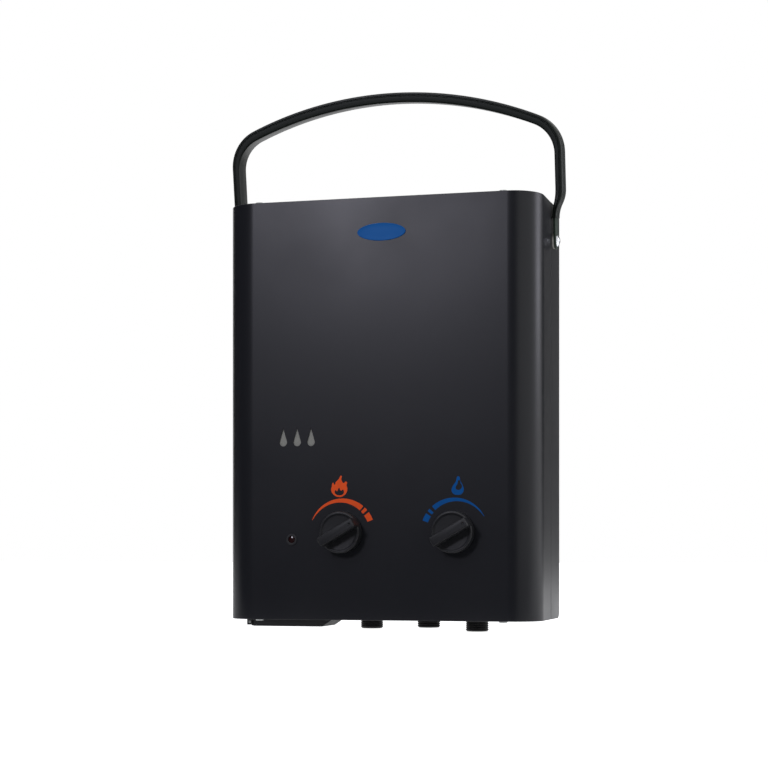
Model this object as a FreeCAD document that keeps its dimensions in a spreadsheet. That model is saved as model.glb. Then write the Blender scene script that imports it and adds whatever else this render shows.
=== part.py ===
"""Portable propane water heater: a hung steel case with a burner, a finned copper
heat exchanger, gas and water valves, a battery igniter and a folding carry handle.

The row frame has its origin in the keyhole of the back sheet. +X is to the right, +Y to
the back and +Z up, so the front face is at Y = -case_depth. Lengths are millimetres.
"""
import FreeCAD, Part
import math
import os
import re

import Sketcher
from FreeCAD import Placement, Rotation, Vector

SIZES = [
    # case
    ("case_width", 288, "outer width of the case"),
    ("case_height", 375, "outer height of the case"),
    ("case_depth", 108, "front face to back sheet"),
    ("hang_drop", 35, "keyhole centre below the case top"),
    ("sheet_metal", 1.0, "thickness of every folded steel sheet"),
    ("corner_radius", 28, "upright front corners of the cover"),
    ("cover_depth", 64, "depth of the front cover's sides"),
    ("cover_flange", 12, "turned-in flange at the cover's top and bottom"),
    ("seam_gap", 0.5, "gap between the cover and the chassis sides"),
    ("joggle_depth", 10, "chassis lip that lies inside the cover's side"),
    ("slide_clearance", 0.1, "clearance between sheets that slide together"),
    ("rear_corner_radius", 7, "rounded lower rear corner of the chassis sides"),
    ("keyhole_radius", 6, "entry hole of the keyhole"),
    ("keyhole_slot_width", 5, "slot of the keyhole"),
    ("keyhole_slot_rise", 12, "centre of the slot's top end above the keyhole"),
    ("steady_hole_radius", 2.5, "two lower wall screw holes"),
    ("steady_hole_spacing", 200, "distance between the lower wall screw holes"),
    ("steady_hole_height", 30, "lower wall screw holes above the case bottom"),
    ("vent_count", 17, "exhaust slots in the top plate"),
    ("vent_width", 4, "width of a vent slot"),
    ("vent_length", 50, "length of an exhaust slot"),
    ("vent_pitch", 9, "distance between vent slots"),
    ("intake_length", 26, "length of an air intake slot"),
    ("intake_count", 5, "air intake slots in the bottom plate"),
    ("screw_radius", 2, "M4 case screws"),
    ("screw_head_radius", 3.8, "head of the case screws"),
    ("screw_head_height", 1.2, "head of the case screws"),
    ("screw_grip", 8, "length of the case screws under the head"),
    ("screw_inset", 6, "case screws in from the edge"),
    ("screw_spread", 112, "case screws left and right of the middle"),
    # handle
    ("pivot_inset", 12, "handle pivot behind the rear edge of the cover's sides"),
    ("pivot_drop", 33, "handle pivot below the case top"),
    ("handle_lean", 9, "forward lean of the handle at rest, in degrees"),
    ("handle_reach", 155.5, "outer face of the grip's arms from the middle"),
    ("handle_rise", 139, "top of the grip above the pivot"),
    ("grip_width", 20, "front to back width of the grip"),
    ("grip_thickness", 7, "thickness of the grip's arms"),
    ("grip_crown", 9, "thickness of the grip at its top"),
    ("grip_arch_radius", 347, "outer radius of the grip's arch"),
    ("grip_corner_radius", 36, "outer radius of the grip's corners"),
    ("grip_start", 20, "lower end of the grip above the pivot"),
    ("grip_bow", 46, "height above the pivot where the arms are widest"),
    ("grip_edge", 1.6, "rounded edges of the grip"),
    ("grip_outer_wall", 1.3, "wall outside the band at the grip's lower end"),
    ("grip_inner_wall", 0.7, "wall inside the band at the grip's lower end"),
    ("band_thickness", 2, "steel band inside the grip"),
    ("band_width", 15, "width of the steel band"),
    ("spacer_thickness", 1.5, "nylon spacer between the case and the band"),
    ("spacer_radius", 7, "nylon spacer"),
    ("pivot_radius", 2.5, "M5 pivot screw"),
    ("pivot_head_radius", 5.3, "domed head of the pivot screw"),
    ("pivot_head_height", 2.6, "domed head of the pivot screw"),
    ("running_clearance", 0.06, "radial clearance of turning and sliding parts"),
    ("nut_radius", 4.6, "corner radius of the M5 nut"),
    ("nut_height", 4, "M5 nut"),
    # front fittings
    ("knob_radius", 18.5, "disc of both knobs"),
    ("knob_disc_height", 11, "disc of both knobs"),
    ("knob_height", 23, "grip bar of both knobs"),
    ("knob_bar_width", 9, "grip bar of both knobs"),
    ("knob_gap", 0.8, "knob above the front face"),
    ("knob_edge", 1.5, "rounded edges of the knobs"),
    ("knob_rim", 2.5, "raised rim of the dished disc"),
    ("knob_dish", 2, "depth of the dish beside the grip bar"),
    ("pointer_radius", 1.2, "pointer mark in the grip bar"),
    ("pointer_inset", 4, "pointer mark in from the end of the grip bar"),
    ("pointer_depth", 0.8, "pointer mark in the grip bar"),
    ("pointer_angle", 30, "pointer above the horizontal at rest, in degrees"),
    ("gas_knob_offset", -32.5, "gas knob from the middle"),
    ("water_knob_offset", 69.4, "water knob from the middle"),
    ("knob_axis_height", 78, "both knobs above the case bottom"),
    ("spindle_radius", 4, "spindles of both knobs"),
    ("spindle_hole_radius", 6, "holes in the cover for the spindles"),
    ("spindle_engagement", 12, "spindle end inside the knob"),
    ("spindle_socket", 14, "depth of the spindle's bore in each valve"),
    ("lamp_offset", -79.8, "indicator lamp from the middle"),
    ("lamp_height", 71.8, "indicator lamp above the case bottom"),
    ("lamp_bezel_radius", 5, "flange of the lamp's bezel"),
    ("lamp_sleeve_radius", 4, "sleeve of the lamp's bezel"),
    ("lamp_lens_radius", 3.1, "lens of the lamp"),
    ("lamp_flange", 1.2, "flange of the lamp's bezel"),
    ("lamp_depth", 9, "lamp behind the front face"),
    ("window_middle", -74.8, "middle teardrop window from the middle of the case"),
    ("window_pitch", 13, "distance between teardrop windows"),
    ("window_height", 155.4, "bottom of the windows above the case bottom"),
    ("window_length", 16.2, "height of a teardrop window"),
    ("window_radius", 3.55, "round end of a teardrop window"),
    ("pane_thickness", 0.5, "mica pane behind the windows"),
    ("pane_margin", 6, "mica pane beyond the windows"),
    ("frame_border", 4, "steel frame that holds the mica pane"),
    ("badge_offset", 3.5, "plain badge from the middle"),
    ("badge_height", 344, "plain badge above the case bottom"),
    ("badge_length", 44, "plain badge"),
    ("badge_width", 15.5, "plain badge"),
    ("badge_thickness", 0.8, "plain badge"),
    # pipe connections
    ("port_setback", 62, "pipe connections behind the front face"),
    ("hot_port_offset", -22.2, "hot water outlet from the middle"),
    ("gas_port_offset", 31.6, "gas inlet from the middle"),
    ("cold_port_offset", 76.7, "cold water inlet from the middle"),
    ("thread_radius", 10.4775, "G 1/2 male thread"),
    ("port_hole_gap", 1, "hole in the bottom plate round each thread"),
    ("port_bore_radius", 6.5, "bore of the pipe connections"),
    ("hot_port_drop", 9.3, "hot water outlet below the case bottom"),
    ("gas_port_drop", 8.2, "gas inlet below the case bottom"),
    ("cold_port_drop", 11.2, "cold water inlet below the case bottom"),
    ("collar_radius", 14, "collar that seats on the bottom plate"),
    ("collar_height", 6, "collar that seats on the bottom plate"),
    ("port_neck_radius", 8, "neck above the collar"),
    ("port_neck_top", 22, "top of the necks above the case bottom"),
    ("filter_radius", 6.2, "mesh filter in the cold inlet"),
    ("filter_length", 14, "mesh filter in the cold inlet"),
    # gas valve
    ("valve_setback", 58, "rod axis behind the front face"),
    ("gas_valve_left", -48, "left end of the gas valve"),
    ("gas_valve_right", 24, "right end of the gas valve"),
    ("gas_valve_size", 36, "front to back and height of the gas valve"),
    ("gas_chamber_radius", 9, "poppet chamber of the gas valve"),
    ("gas_chamber_length", 16, "poppet chamber of the gas valve"),
    ("gas_seat_radius", 5.5, "seat bore that the poppet closes"),
    ("gas_seat_length", 4, "seat web between the two chambers"),
    ("gas_entry_length", 10, "entry chamber beside the guide bore"),
    ("gas_guide_length", 6, "guide bore at the right end of the gas valve"),
    ("gas_outlet_offset", -6, "gas outlet from the middle"),
    ("gas_outlet_radius", 5, "bore of the gas outlet and riser"),
    ("gas_riser_radius", 6, "riser pipe to the manifold"),
    ("riser_rise", 9, "level run of the riser above the gas valve"),
    ("solenoid_radius", 12, "safety solenoid"),
    ("solenoid_length", 26, "safety solenoid"),
    ("solenoid_lift", 6, "solenoid axis above the rod axis"),
    ("gas_pipe_radius", 5, "gas pipe from the inlet to the valve"),
    ("gas_pipe_offset", 13, "gas pipe's entry to the valve from the middle"),
    ("gas_pipe_height", 42, "level run of the gas pipe above the case bottom"),
    ("pipe_wall", 1, "wall of all pipes"),
    ("pipe_bend", 7, "bend radius of the short pipes"),
    ("long_bend", 12, "bend radius of the hot pipe"),
    ("coil_bend", 9, "bend radius of the coil"),
    # water valve
    ("water_valve_left", 62, "left face of the water valve"),
    ("water_valve_right", 98, "right face of the water valve"),
    ("water_valve_depth", 32, "front to back of the water valve"),
    ("water_valve_top", 100, "top of the water valve above the case bottom"),
    ("water_outlet_inset", 8, "outlet of the water valve in from its right side"),
    ("water_gallery_height", 50, "gallery in the water valve above the case bottom"),
    ("diaphragm_radius", 30, "flanges round the diaphragm"),
    ("diaphragm_thickness", 1.5, "rubber diaphragm"),
    ("water_flange_thickness", 5, "flange of the water valve"),
    ("cover_thickness", 9.5, "cover over the dry side of the diaphragm"),
    ("cover_wall", 1.5, "end wall of the diaphragm cover"),
    ("cover_hollow_radius", 20, "hollow of the diaphragm cover"),
    ("rod_radius", 3, "push rod"),
    ("plate_radius", 17, "pressure plate of the push rod"),
    ("plate_thickness", 1.5, "pressure plate of the push rod"),
    ("plate_gap", 0.3, "pressure plate to the diaphragm at rest"),
    ("collar_disc_radius", 4.2, "collar on the push rod that moves the lever"),
    ("collar_disc_length", 2, "collar on the push rod"),
    ("poppet_radius", 7.5, "gas poppet on the push rod"),
    ("poppet_length", 4, "gas poppet on the push rod"),
    ("flange_screw_circle", 26, "screws round the diaphragm"),
    ("flange_screw_radius", 1.5, "screws round the diaphragm"),
    ("drain_radius", 7, "head of the drain plug"),
    ("drain_height", 34, "drain plug above the case bottom"),
    ("drain_head", 6, "head of the drain plug"),
    ("drain_shank", 9, "shank of the drain plug"),
    # switch
    ("lever_offset", 29.5, "lever pivot from the middle"),
    ("lever_rise", 16, "lever pivot above the rod axis"),
    ("lever_thickness", 1, "switch lever"),
    ("lever_width", 13, "switch lever"),
    ("lever_gap", 0.6, "switch lever to the rod's collar"),
    ("lever_pin_radius", 1.2, "pin of the switch lever"),
    ("lever_barrel_radius", 2.2, "barrel of the switch lever"),
    ("switch_length", 20, "microswitch"),
    ("switch_width", 10, "microswitch"),
    ("switch_height", 12, "microswitch"),
    ("switch_button_radius", 1.5, "button of the microswitch"),
    ("switch_button_rise", 5, "button above the gas valve"),
    ("lever_upper", 10, "switch lever above its pin"),
    ("lever_lower", 3, "switch lever below the rod axis"),
    ("ear_gap", 0.5, "side clearance of the switch lever"),
    # burner
    ("burner_half_width", 82, "outer half width of burner and exchanger"),
    ("burner_front", 24, "front wall of burner and exchanger behind the front face"),
    ("burner_depth", 70, "front to back of burner and exchanger"),
    ("burner_bottom", 112, "bottom of the burner frame above the case bottom"),
    ("bar_count", 6, "burner bars"),
    ("bar_pitch", 26, "distance between burner bars"),
    ("bar_width", 12, "burner bar"),
    ("bar_height", 34, "burner bar"),
    ("bar_ledge", 3, "ledge that carries the burner bars, above the frame's bottom"),
    ("throat_radius", 5, "mixing throat of a burner bar"),
    ("jet_height", 125, "jets above the case bottom"),
    ("jet_radius", 3, "brass jets"),
    ("jet_reach", 3, "jets inside the burner frame"),
    ("throat_depth", 20, "mixing throat of a burner bar"),
    ("ledge_width", 5, "ledges that carry the burner bars"),
    ("tab_offset", 60, "rear tabs of the burner frame from the middle"),
    ("tab_width", 12, "rear tabs of the burner frame"),
    ("manifold_setback", 12, "manifold behind the front face"),
    ("manifold_radius", 6, "manifold tube"),
    ("manifold_overhang", 8, "manifold beyond the outer jets"),
    ("flame_slot_width", 4, "slots in the burner bars' tops"),
    ("flame_slot_depth", 3, "slots in the burner bars' tops"),
    ("flame_slot_margin", 6, "slots in from the burner frame"),
    # exchanger
    ("chamber_bottom", 164, "bottom of the combustion chamber above the case bottom"),
    ("fins_bottom", 262, "bottom of the fins above the case bottom"),
    ("chamber_top", 300, "top of the heat exchanger above the case bottom"),
    ("fin_pitch", 7, "distance between fins"),
    ("fin_thickness", 0.8, "copper fin"),
    ("fin_margin", 4, "fins below the top of the shell"),
    ("tube_radius", 6, "exchanger tubes"),
    ("tube_height", 281, "exchanger tubes above the case bottom"),
    ("tube_spacing", 23, "distance between exchanger tubes"),
    ("tube_overhang", 4, "exchanger tubes beyond the shell"),
    ("coil_radius", 5, "water pipe wound round the chamber"),
    ("coil_gap", 1.3, "coil clear of the chamber's walls"),
    ("coil_bottom", 181, "lowest turn of the coil above the case bottom"),
    ("coil_pitch", 24, "rise of the coil for each turn"),
    ("coil_turns", 3, "turns of the coil"),
    ("coil_entry", 14, "joint with the cold pipe below the coil"),
    ("riser_shift", 2, "coil entry behind the rod axis"),
    ("cold_rise", 22, "straight ends of the cold pipe"),
    ("hot_drop", 31, "hot pipe down from the exchanger before it turns forward"),
    ("hot_shift", 25, "slanted stretch of the hot pipe"),
    ("hot_pipe_height", 44, "level run of the hot pipe above the case bottom"),
    ("pipe_radius", 6, "hot and cold water pipes"),
    ("side_run", 104, "upright pipe runs from the middle"),
    ("thermostat_radius", 9, "overheat thermostat"),
    ("thermostat_offset", 40, "overheat thermostat from the middle"),
    ("thermostat_height", 275, "overheat thermostat above the case bottom"),
    ("thermostat_depth", 8, "overheat thermostat"),
    ("union_radius", 9.6, "corner radius of the pipe nuts"),
    ("union_height", 9, "pipe nuts"),
    # ignition
    ("electrode_drop", 6, "electrodes below the combustion chamber"),
    ("spark_offset", 13, "spark electrode from the middle"),
    ("sensor_offset", 39, "flame sensor from the middle"),
    ("electrode_reach", 8, "ceramic in front of the burner frame"),
    ("electrode_wire", 12, "electrode wires beyond the ceramic"),
    ("ceramic_radius", 3, "ceramic of the electrodes"),
    ("ceramic_length", 22, "ceramic of the electrodes"),
    ("electrode_flange", 7, "mounting flange of the electrodes"),
    ("wire_radius", 0.8, "electrode wires"),
    ("igniter_width", 26, "igniter box"),
    ("igniter_height", 78, "igniter box"),
    ("igniter_thickness", 30, "igniter box"),
    ("igniter_bottom", 78, "igniter box above the case bottom"),
    ("igniter_inset", 5, "igniter box in from the case side"),
    ("lead_radius", 1.5, "ignition leads"),
    ("lead_setback", 8, "leads behind the front face"),
    ("lead_height", 142, "leads above the case bottom"),
    ("lead_bend", 6, "bend radius of the leads"),
    # battery
    ("battery_left", -126, "left side of the battery case"),
    ("battery_front", 17, "battery case behind the front face"),
    ("battery_width", 74, "battery case"),
    ("battery_depth", 38, "battery case"),
    ("battery_top", 66, "top of the battery case above the case bottom"),
    ("battery_wall", 1.5, "wall of the battery case"),
    ("battery_flange", 2.5, "flange of the battery case under the bottom plate"),
    ("battery_corner", 12, "rounded front corner of the flange"),
    ("cell_radius", 16.8, "D cell"),
    ("cell_length", 60, "D cell body"),
    ("cell_bottom", 2.5, "D cells above the case bottom"),
    ("cell_nub_radius", 4.7, "positive end of a D cell"),
    ("cell_nub_height", 1.5, "positive end of a D cell"),
    ("door_drop", 6.6, "battery door below the case bottom"),
    ("door_skin", 1.8, "battery door"),
    ("door_reach", -47, "right end of the battery door from the middle"),
    ("door_ramp", 11, "sloping end of the battery door"),
    ("door_gap", 0.4, "battery door below the flange"),
    ("door_pin_radius", 1.2, "hinge pin of the battery door"),
    ("door_barrel_radius", 2.5, "hinge barrel of the battery door"),
    ("door_lug", 4, "hinge lugs of the battery case"),
    ("hinge_inset", 0.5, "hinge pin in from the battery case's left side"),
    ("hinge_drop", 3, "hinge pin below the case bottom"),
    ("lug_clearance", 1.3, "door clear of the hinge lugs"),
    ("cell_side_gap", 1, "gap beside the D cells"),
    ("spring_radius", 12.14, "leaf springs on the door"),
    ("spring_thickness", 0.4, "leaf springs on the door"),
    ("spring_width", 8, "leaf springs on the door"),
]

doc = FreeCAD.newDocument("water_heater")
sheet = doc.addObject("Spreadsheet::Sheet", "Sizes")
for row, (alias, value, meaning) in enumerate(SIZES, start=1):
    sheet.set(f"A{row}", meaning)
    sheet.set(f"B{row}", str(value))
    sheet.setAlias(f"B{row}", alias)
doc.recompute()

S = {alias: float(sheet.get(f"B{row}")) for row, (alias, _, _) in enumerate(SIZES, start=1)}
ALIASES = set(S)
NODES = {}


def linked(text):
    """An expression on the sheet's cells from a text that uses their bare aliases."""
    return re.sub(r"[a-z][a-z_0-9]*",
                  lambda word: "Sizes." + word.group() if word.group() in ALIASES else word.group(),
                  str(text))


def bind(thing, **expressions):
    """Tie properties to the sheet; a double underscore stands for a dot."""
    for name, text in expressions.items():
        thing.setExpression(name.replace("__", "."), linked(text))
    return thing


def node(label, thing):
    """Name a finished sub-part, which is also its file's name."""
    thing.Label = label
    NODES[label] = thing
    return thing


def up(text):
    """Height above the case bottom, as a place along Z."""
    return f"(hang_drop - case_height + ({text}))"


def back(text):
    """Distance behind the front face, as a place along Y."""
    return f"(-case_depth + ({text}))"


def z_at(height):
    """Number for up()."""
    return S["hang_drop"] - S["case_height"] + height


def y_at(depth):
    """Number for back()."""
    return -S["case_depth"] + depth


def block(name, x_span, y_span, z_span):
    """A box between three pairs of expressions."""
    box = doc.addObject("Part::Box", name)
    return bind(box,
                Length=f"({x_span[1]}) - ({x_span[0]})",
                Width=f"({y_span[1]}) - ({y_span[0]})",
                Height=f"({z_span[1]}) - ({z_span[0]})",
                Placement__Base__x=x_span[0], Placement__Base__y=y_span[0],
                Placement__Base__z=z_span[0])


TURN_TO_AXIS = {"X": Rotation(Vector(0, 1, 0), 90),
                "Y": Rotation(Vector(1, 0, 0), -90),
                "Z": Rotation()}


def along(shape, axis, centre, start):
    """Place a Z-built primitive along an axis; centre holds the other two places in X, Y, Z order."""
    places = list(centre)
    places.insert("XYZ".index(axis), start)
    shape.Placement = Placement(Vector(), TURN_TO_AXIS[axis])
    return bind(shape, Placement__Base__x=places[0], Placement__Base__y=places[1],
                Placement__Base__z=places[2])


def rod(name, axis, radius, centre, span):
    """A cylinder along an axis."""
    cylinder = doc.addObject("Part::Cylinder", name)
    bind(cylinder, Radius=radius, Height=f"({span[1]}) - ({span[0]})")
    return along(cylinder, axis, centre, span[0])


def hexagon(name, axis, radius, centre, span):
    """A hexagonal prism along an axis."""
    prism = doc.addObject("Part::Prism", name)
    prism.Polygon = 6
    bind(prism, Circumradius=radius, Height=f"({span[1]}) - ({span[0]})")
    return along(prism, axis, centre, span[0])


def join(name, *shapes):
    """Fuse touching solids into one."""
    fuse = doc.addObject("Part::MultiFuse", name)
    fuse.Shapes = list(shapes)
    fuse.Refine = True
    return fuse


def cut(name, base, *tools):
    """Cut tools out of a base."""
    cutter = doc.addObject("Part::Cut", name)
    cutter.Base = base
    cutter.Tool = tools[0] if len(tools) == 1 else group(name + "_tools", *tools)
    return cutter


def group(name, *shapes):
    """Separate solids in one node."""
    compound = doc.addObject("Part::Compound", name)
    compound.Links = list(shapes)
    return compound


def feature(name, shape):
    """A shape made with Part's own functions from the sheet's numbers."""
    thing = doc.addObject("Part::Feature", name)
    thing.Shape = shape
    return thing


def rounded_line(points, bend):
    """Straight runs joined by tangent arcs of one radius."""
    edges, start = [], points[0]
    for before, corner, after in zip(points, points[1:], points[2:]):
        arriving = (corner - before).normalize()
        leaving = (after - corner).normalize()
        half_turn = arriving.getAngle(leaving) / 2
        setback = bend * math.tan(half_turn)
        inward = (leaving - arriving).normalize()
        first = corner - arriving * setback
        last = corner + leaving * setback
        middle = corner + inward * (bend / math.cos(half_turn) - bend)
        edges.append(Part.LineSegment(start, first).toShape())
        edges.append(Part.Arc(first, middle, last).toShape())
        start = last
    edges.append(Part.LineSegment(start, points[-1]).toShape())
    return Part.Wire(edges)


def tube_along(points, radius, bend):
    """A solid round bar along a rounded line."""
    ring = Part.Wire(Part.makeCircle(radius, points[0], points[1] - points[0]))
    return rounded_line(points, bend).makePipeShell([ring], True, False)


def pipe(name, points, radius, wall, bend):
    """A hollow pipe along a rounded line."""
    outside = tube_along(points, radius, bend)
    return feature(name, outside.cut(tube_along(points, radius - wall, bend)))


def sketch_on(body, role, name, lift="0"):
    """A sketch on one of the body's own origin planes."""
    sketch = body.newObject("Sketcher::SketchObject", name)
    plane = next(item for item in body.Origin.OriginFeatures if item.Role == role)
    sketch.AttachmentSupport = [(plane, "")]
    sketch.MapMode = "FlatFace"
    return bind(sketch, AttachmentOffset__Base__z=lift)


def pin_point(sketch, geometry, end, x_place, y_place):
    """Bind a point of the sketch to the sheet."""
    for kind, place in (("DistanceX", x_place), ("DistanceY", y_place)):
        index = sketch.addConstraint(Sketcher.Constraint(kind, -1, 1, geometry, end, 1.0))
        sketch.setExpression(f"Constraints[{index}]", linked(place))


def rectangle(sketch, x_span, y_span):
    """A rectangle whose corners are bound to the sheet."""
    first = sketch.GeometryCount
    corners = [Vector(-1, -1, 0), Vector(1, -1, 0), Vector(1, 1, 0), Vector(-1, 1, 0)]
    for side in range(4):
        sketch.addGeometry(Part.LineSegment(corners[side], corners[(side + 1) % 4]), False)
    for side in range(4):
        sketch.addConstraint(
            Sketcher.Constraint("Coincident", first + side, 2, first + (side + 1) % 4, 1))
        direction = "Horizontal" if side % 2 == 0 else "Vertical"
        sketch.addConstraint(Sketcher.Constraint(direction, first + side))
    pin_point(sketch, first, 1, x_span[0], y_span[0])
    pin_point(sketch, first + 2, 1, x_span[1], y_span[1])


def circle(sketch, radius, x_place, y_place):
    """A circle bound to the sheet."""
    index = sketch.addGeometry(Part.Circle(Vector(0, 0, 0), Vector(0, 0, 1), 1.0), False)
    constraint = sketch.addConstraint(Sketcher.Constraint("Radius", index, 1.0))
    sketch.setExpression(f"Constraints[{constraint}]", linked(radius))
    pin_point(sketch, index, 3, x_place, y_place)


def pad(body, name, sketch, length, reverse=False):
    """Extrude a sketch into material."""
    feature_pad = body.newObject("PartDesign::Pad", name)
    feature_pad.Profile = sketch
    feature_pad.Reversed = reverse
    return bind(feature_pad, Length=length)


def pocket(body, name, sketch, length, reverse=False):
    """Cut a sketch out of material and check that it removed some."""
    doc.recompute()
    before = body.Shape.Volume
    feature_pocket = body.newObject("PartDesign::Pocket", name)
    feature_pocket.Profile = sketch
    feature_pocket.Reversed = reverse
    bind(feature_pocket, Length=length)
    doc.recompute()
    if not body.Shape.Volume < before - 1e-6:
        raise ValueError(f"{name} cuts nothing")
    return feature_pocket


LEFT, RIGHT = "(-case_width / 2)", "(case_width / 2)"
FRONT, REAR = "(-case_depth)", "0"
TOP, FLOOR = "hang_drop", "(hang_drop - case_height)"


# Front cover: one folded sheet with rounded upright corners and turned-in flanges.
def case_outline(sketch, inset, rear):
    """The case in plan with rounded front corners, a given distance inside its outer face."""
    half, radius = S["case_width"] / 2 - inset, S["corner_radius"] - inset
    front = -S["case_depth"] + inset
    slant = math.sqrt(0.5)
    centre_x, centre_y = half - radius, front + radius
    corners = [
        Part.LineSegment(Vector(-centre_x, front, 0), Vector(centre_x, front, 0)),
        Part.Arc(Vector(centre_x, front, 0),
                 Vector(centre_x + radius * slant, centre_y - radius * slant, 0),
                 Vector(half, centre_y, 0)),
        Part.LineSegment(Vector(half, centre_y, 0), Vector(half, rear, 0)),
        Part.LineSegment(Vector(half, rear, 0), Vector(-half, rear, 0)),
        Part.LineSegment(Vector(-half, rear, 0), Vector(-half, centre_y, 0)),
        Part.Arc(Vector(-half, centre_y, 0),
                 Vector(-centre_x - radius * slant, centre_y - radius * slant, 0),
                 Vector(-centre_x, front, 0)),
    ]
    for edge in corners:
        sketch.addGeometry(edge, False)
    for index in range(len(corners)):
        following = (index + 1) % len(corners)
        sketch.addConstraint(Sketcher.Constraint("Coincident", index, 2, following, 1))


def teardrop(sketch, middle_x):
    """A pointed drop with a round lower end."""
    radius, length = S["window_radius"], S["window_length"]
    centre = Vector(middle_x, z_at(S["window_height"]) + radius, 0)
    tip = Vector(middle_x, z_at(S["window_height"]) + length, 0)
    reach = tip.y - centre.y
    lean = math.acos(radius / reach)
    right = centre + Vector(math.sin(lean), math.cos(lean), 0) * radius
    left = centre + Vector(-math.sin(lean), math.cos(lean), 0) * radius
    low = centre - Vector(0, radius, 0)
    first = sketch.GeometryCount
    sketch.addGeometry(Part.Arc(left, low, right), False)
    sketch.addGeometry(Part.LineSegment(right, tip), False)
    sketch.addGeometry(Part.LineSegment(tip, left), False)
    for step in range(3):
        sketch.addConstraint(
            Sketcher.Constraint("Coincident", first + step, 2, first + (step + 1) % 3, 1))


cover_rear = -S["case_depth"] + S["cover_depth"]
cover = doc.addObject("PartDesign::Body", "FrontCover")
outline = sketch_on(cover, "XY_Plane", "CoverOutline", FLOOR)
case_outline(outline, 0, cover_rear)
pad(cover, "CoverBlock", outline, "case_height")
inside = sketch_on(cover, "XY_Plane", "CoverInside", f"{FLOOR} + sheet_metal")
case_outline(inside, S["sheet_metal"], cover_rear)
pocket(cover, "CoverHollow", inside, "case_height - 2 * sheet_metal", reverse=True)
opening = sketch_on(cover, "XY_Plane", "CoverOpening", FLOOR)
case_outline(opening, S["cover_flange"], cover_rear)
pocket(cover, "CoverOpen", opening, "case_height", reverse=True)
holes = sketch_on(cover, "XZ_Plane", "CoverHoles", "case_depth")
for step in (-1, 0, 1):
    teardrop(holes, S["window_middle"] + step * S["window_pitch"])
circle(holes, "lamp_sleeve_radius + slide_clearance", "lamp_offset", up("lamp_height"))
for knob_offset in ("gas_knob_offset", "water_knob_offset"):
    circle(holes, "spindle_hole_radius", knob_offset, up("knob_axis_height"))
pocket(cover, "CoverFrontHoles", holes, "3 * sheet_metal")
seats = sketch_on(cover, "XY_Plane", "CoverScrewHoles", FLOOR)
for side in ("-1", "1"):
    circle(seats, "screw_radius + slide_clearance", f"{side} * screw_spread",
           back("screw_inset"))
pocket(cover, "CoverScrewSeats", seats, "case_height", reverse=True)
node("front_cover", cover)

# Back sheet: chassis with side strips, joggled lips and a keyhole.
sheet_back = block("BackSheet", (LEFT, RIGHT), ("-sheet_metal", "0"), (FLOOR, TOP))
strips = []
for side, near, far, lip_near, lip_far in (
        ("Left", LEFT, f"{LEFT} + sheet_metal",
         f"{LEFT} + sheet_metal", f"{LEFT} + 2 * sheet_metal"),
        ("Right", f"{RIGHT} - sheet_metal", RIGHT,
         f"{RIGHT} - 2 * sheet_metal", f"{RIGHT} - sheet_metal")):
    strips.append(block(f"{side}Strip", (near, far), (back("cover_depth + seam_gap"), REAR),
                        (FLOOR, TOP)))
    inner = "slide_clearance" if side == "Left" else "-slide_clearance"
    strips.append(block(f"{side}Lip", (f"{lip_near} + {inner}", f"{lip_far} + {inner}"),
                        (back("cover_depth - joggle_depth"), back("cover_depth + joggle_depth / 2")),
                        (f"{FLOOR} + 2 * sheet_metal + slide_clearance",
                         f"{TOP} - 2 * sheet_metal - slide_clearance")))
    strips.append(block(f"{side}Joggle",
                        (f"{lip_near} - sheet_metal" if side == "Left" else lip_near,
                         f"{lip_far}" if side == "Left" else f"{lip_far} + sheet_metal"),
                        (back("cover_depth + seam_gap"), back("cover_depth + joggle_depth / 2")),
                        (f"{FLOOR} + 2 * sheet_metal + slide_clearance",
                         f"{TOP} - 2 * sheet_metal - slide_clearance")))
lips = [block("BackTopLip", (LEFT, RIGHT), ("-cover_flange", "0"), (f"{TOP} - sheet_metal", TOP)),
        block("BackBottomLip", (LEFT, RIGHT), ("-cover_flange", "0"),
              (FLOOR, f"{FLOOR} + sheet_metal"))]
chassis = join("ChassisSheets", sheet_back, *strips, *lips)
corner_blank = block("CornerBlank", (f"{LEFT} - 1", f"{RIGHT} + 1"),
                     ("-rear_corner_radius", "1"), (f"{FLOOR} - 1", f"{FLOOR} + rear_corner_radius"))
corner_round = rod("CornerRound", "X", "rear_corner_radius",
                   ("-rear_corner_radius", f"{FLOOR} + rear_corner_radius"),
                   (f"{LEFT} - 2", f"{RIGHT} + 2"))
corner_waste = cut("CornerWaste", corner_blank, corner_round)
keyhole = [rod("KeyholeEntry", "Y", "keyhole_radius", ("0", "0"), ("-4", "4")),
           block("KeyholeSlot", ("-keyhole_slot_width / 2", "keyhole_slot_width / 2"), ("-4", "4"),
                 ("0", "keyhole_slot_rise")),
           rod("KeyholeEnd", "Y", "keyhole_slot_width / 2", ("0", "keyhole_slot_rise"), ("-4", "4"))]
steady = [rod(f"SteadyHole{name}", "Y", "steady_hole_radius",
              (f"{sign} * steady_hole_spacing / 2", up("steady_hole_height")), ("-4", "4"))
          for name, sign in (("Left", "-1"), ("Right", "1"))]
pivot_hole = rod("PivotHole", "X", "pivot_radius + slide_clearance",
                 (back("cover_depth + pivot_inset"), f"{TOP} - pivot_drop"), (f"{LEFT} - 2", f"{RIGHT} + 2"))
rear_screw_holes = [rod(f"RearScrewHole{name}", "Z", "screw_radius + slide_clearance",
                        (f"{sign} * screw_spread", "-screw_inset"), (f"{FLOOR} - 4", f"{TOP} + 4"))
                    for name, sign in (("Left", "-1"), ("Right", "1"))]
node("back_plate", cut("BackPlate", chassis, corner_waste, *keyhole, *steady, pivot_hole,
                       *rear_screw_holes))


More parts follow.
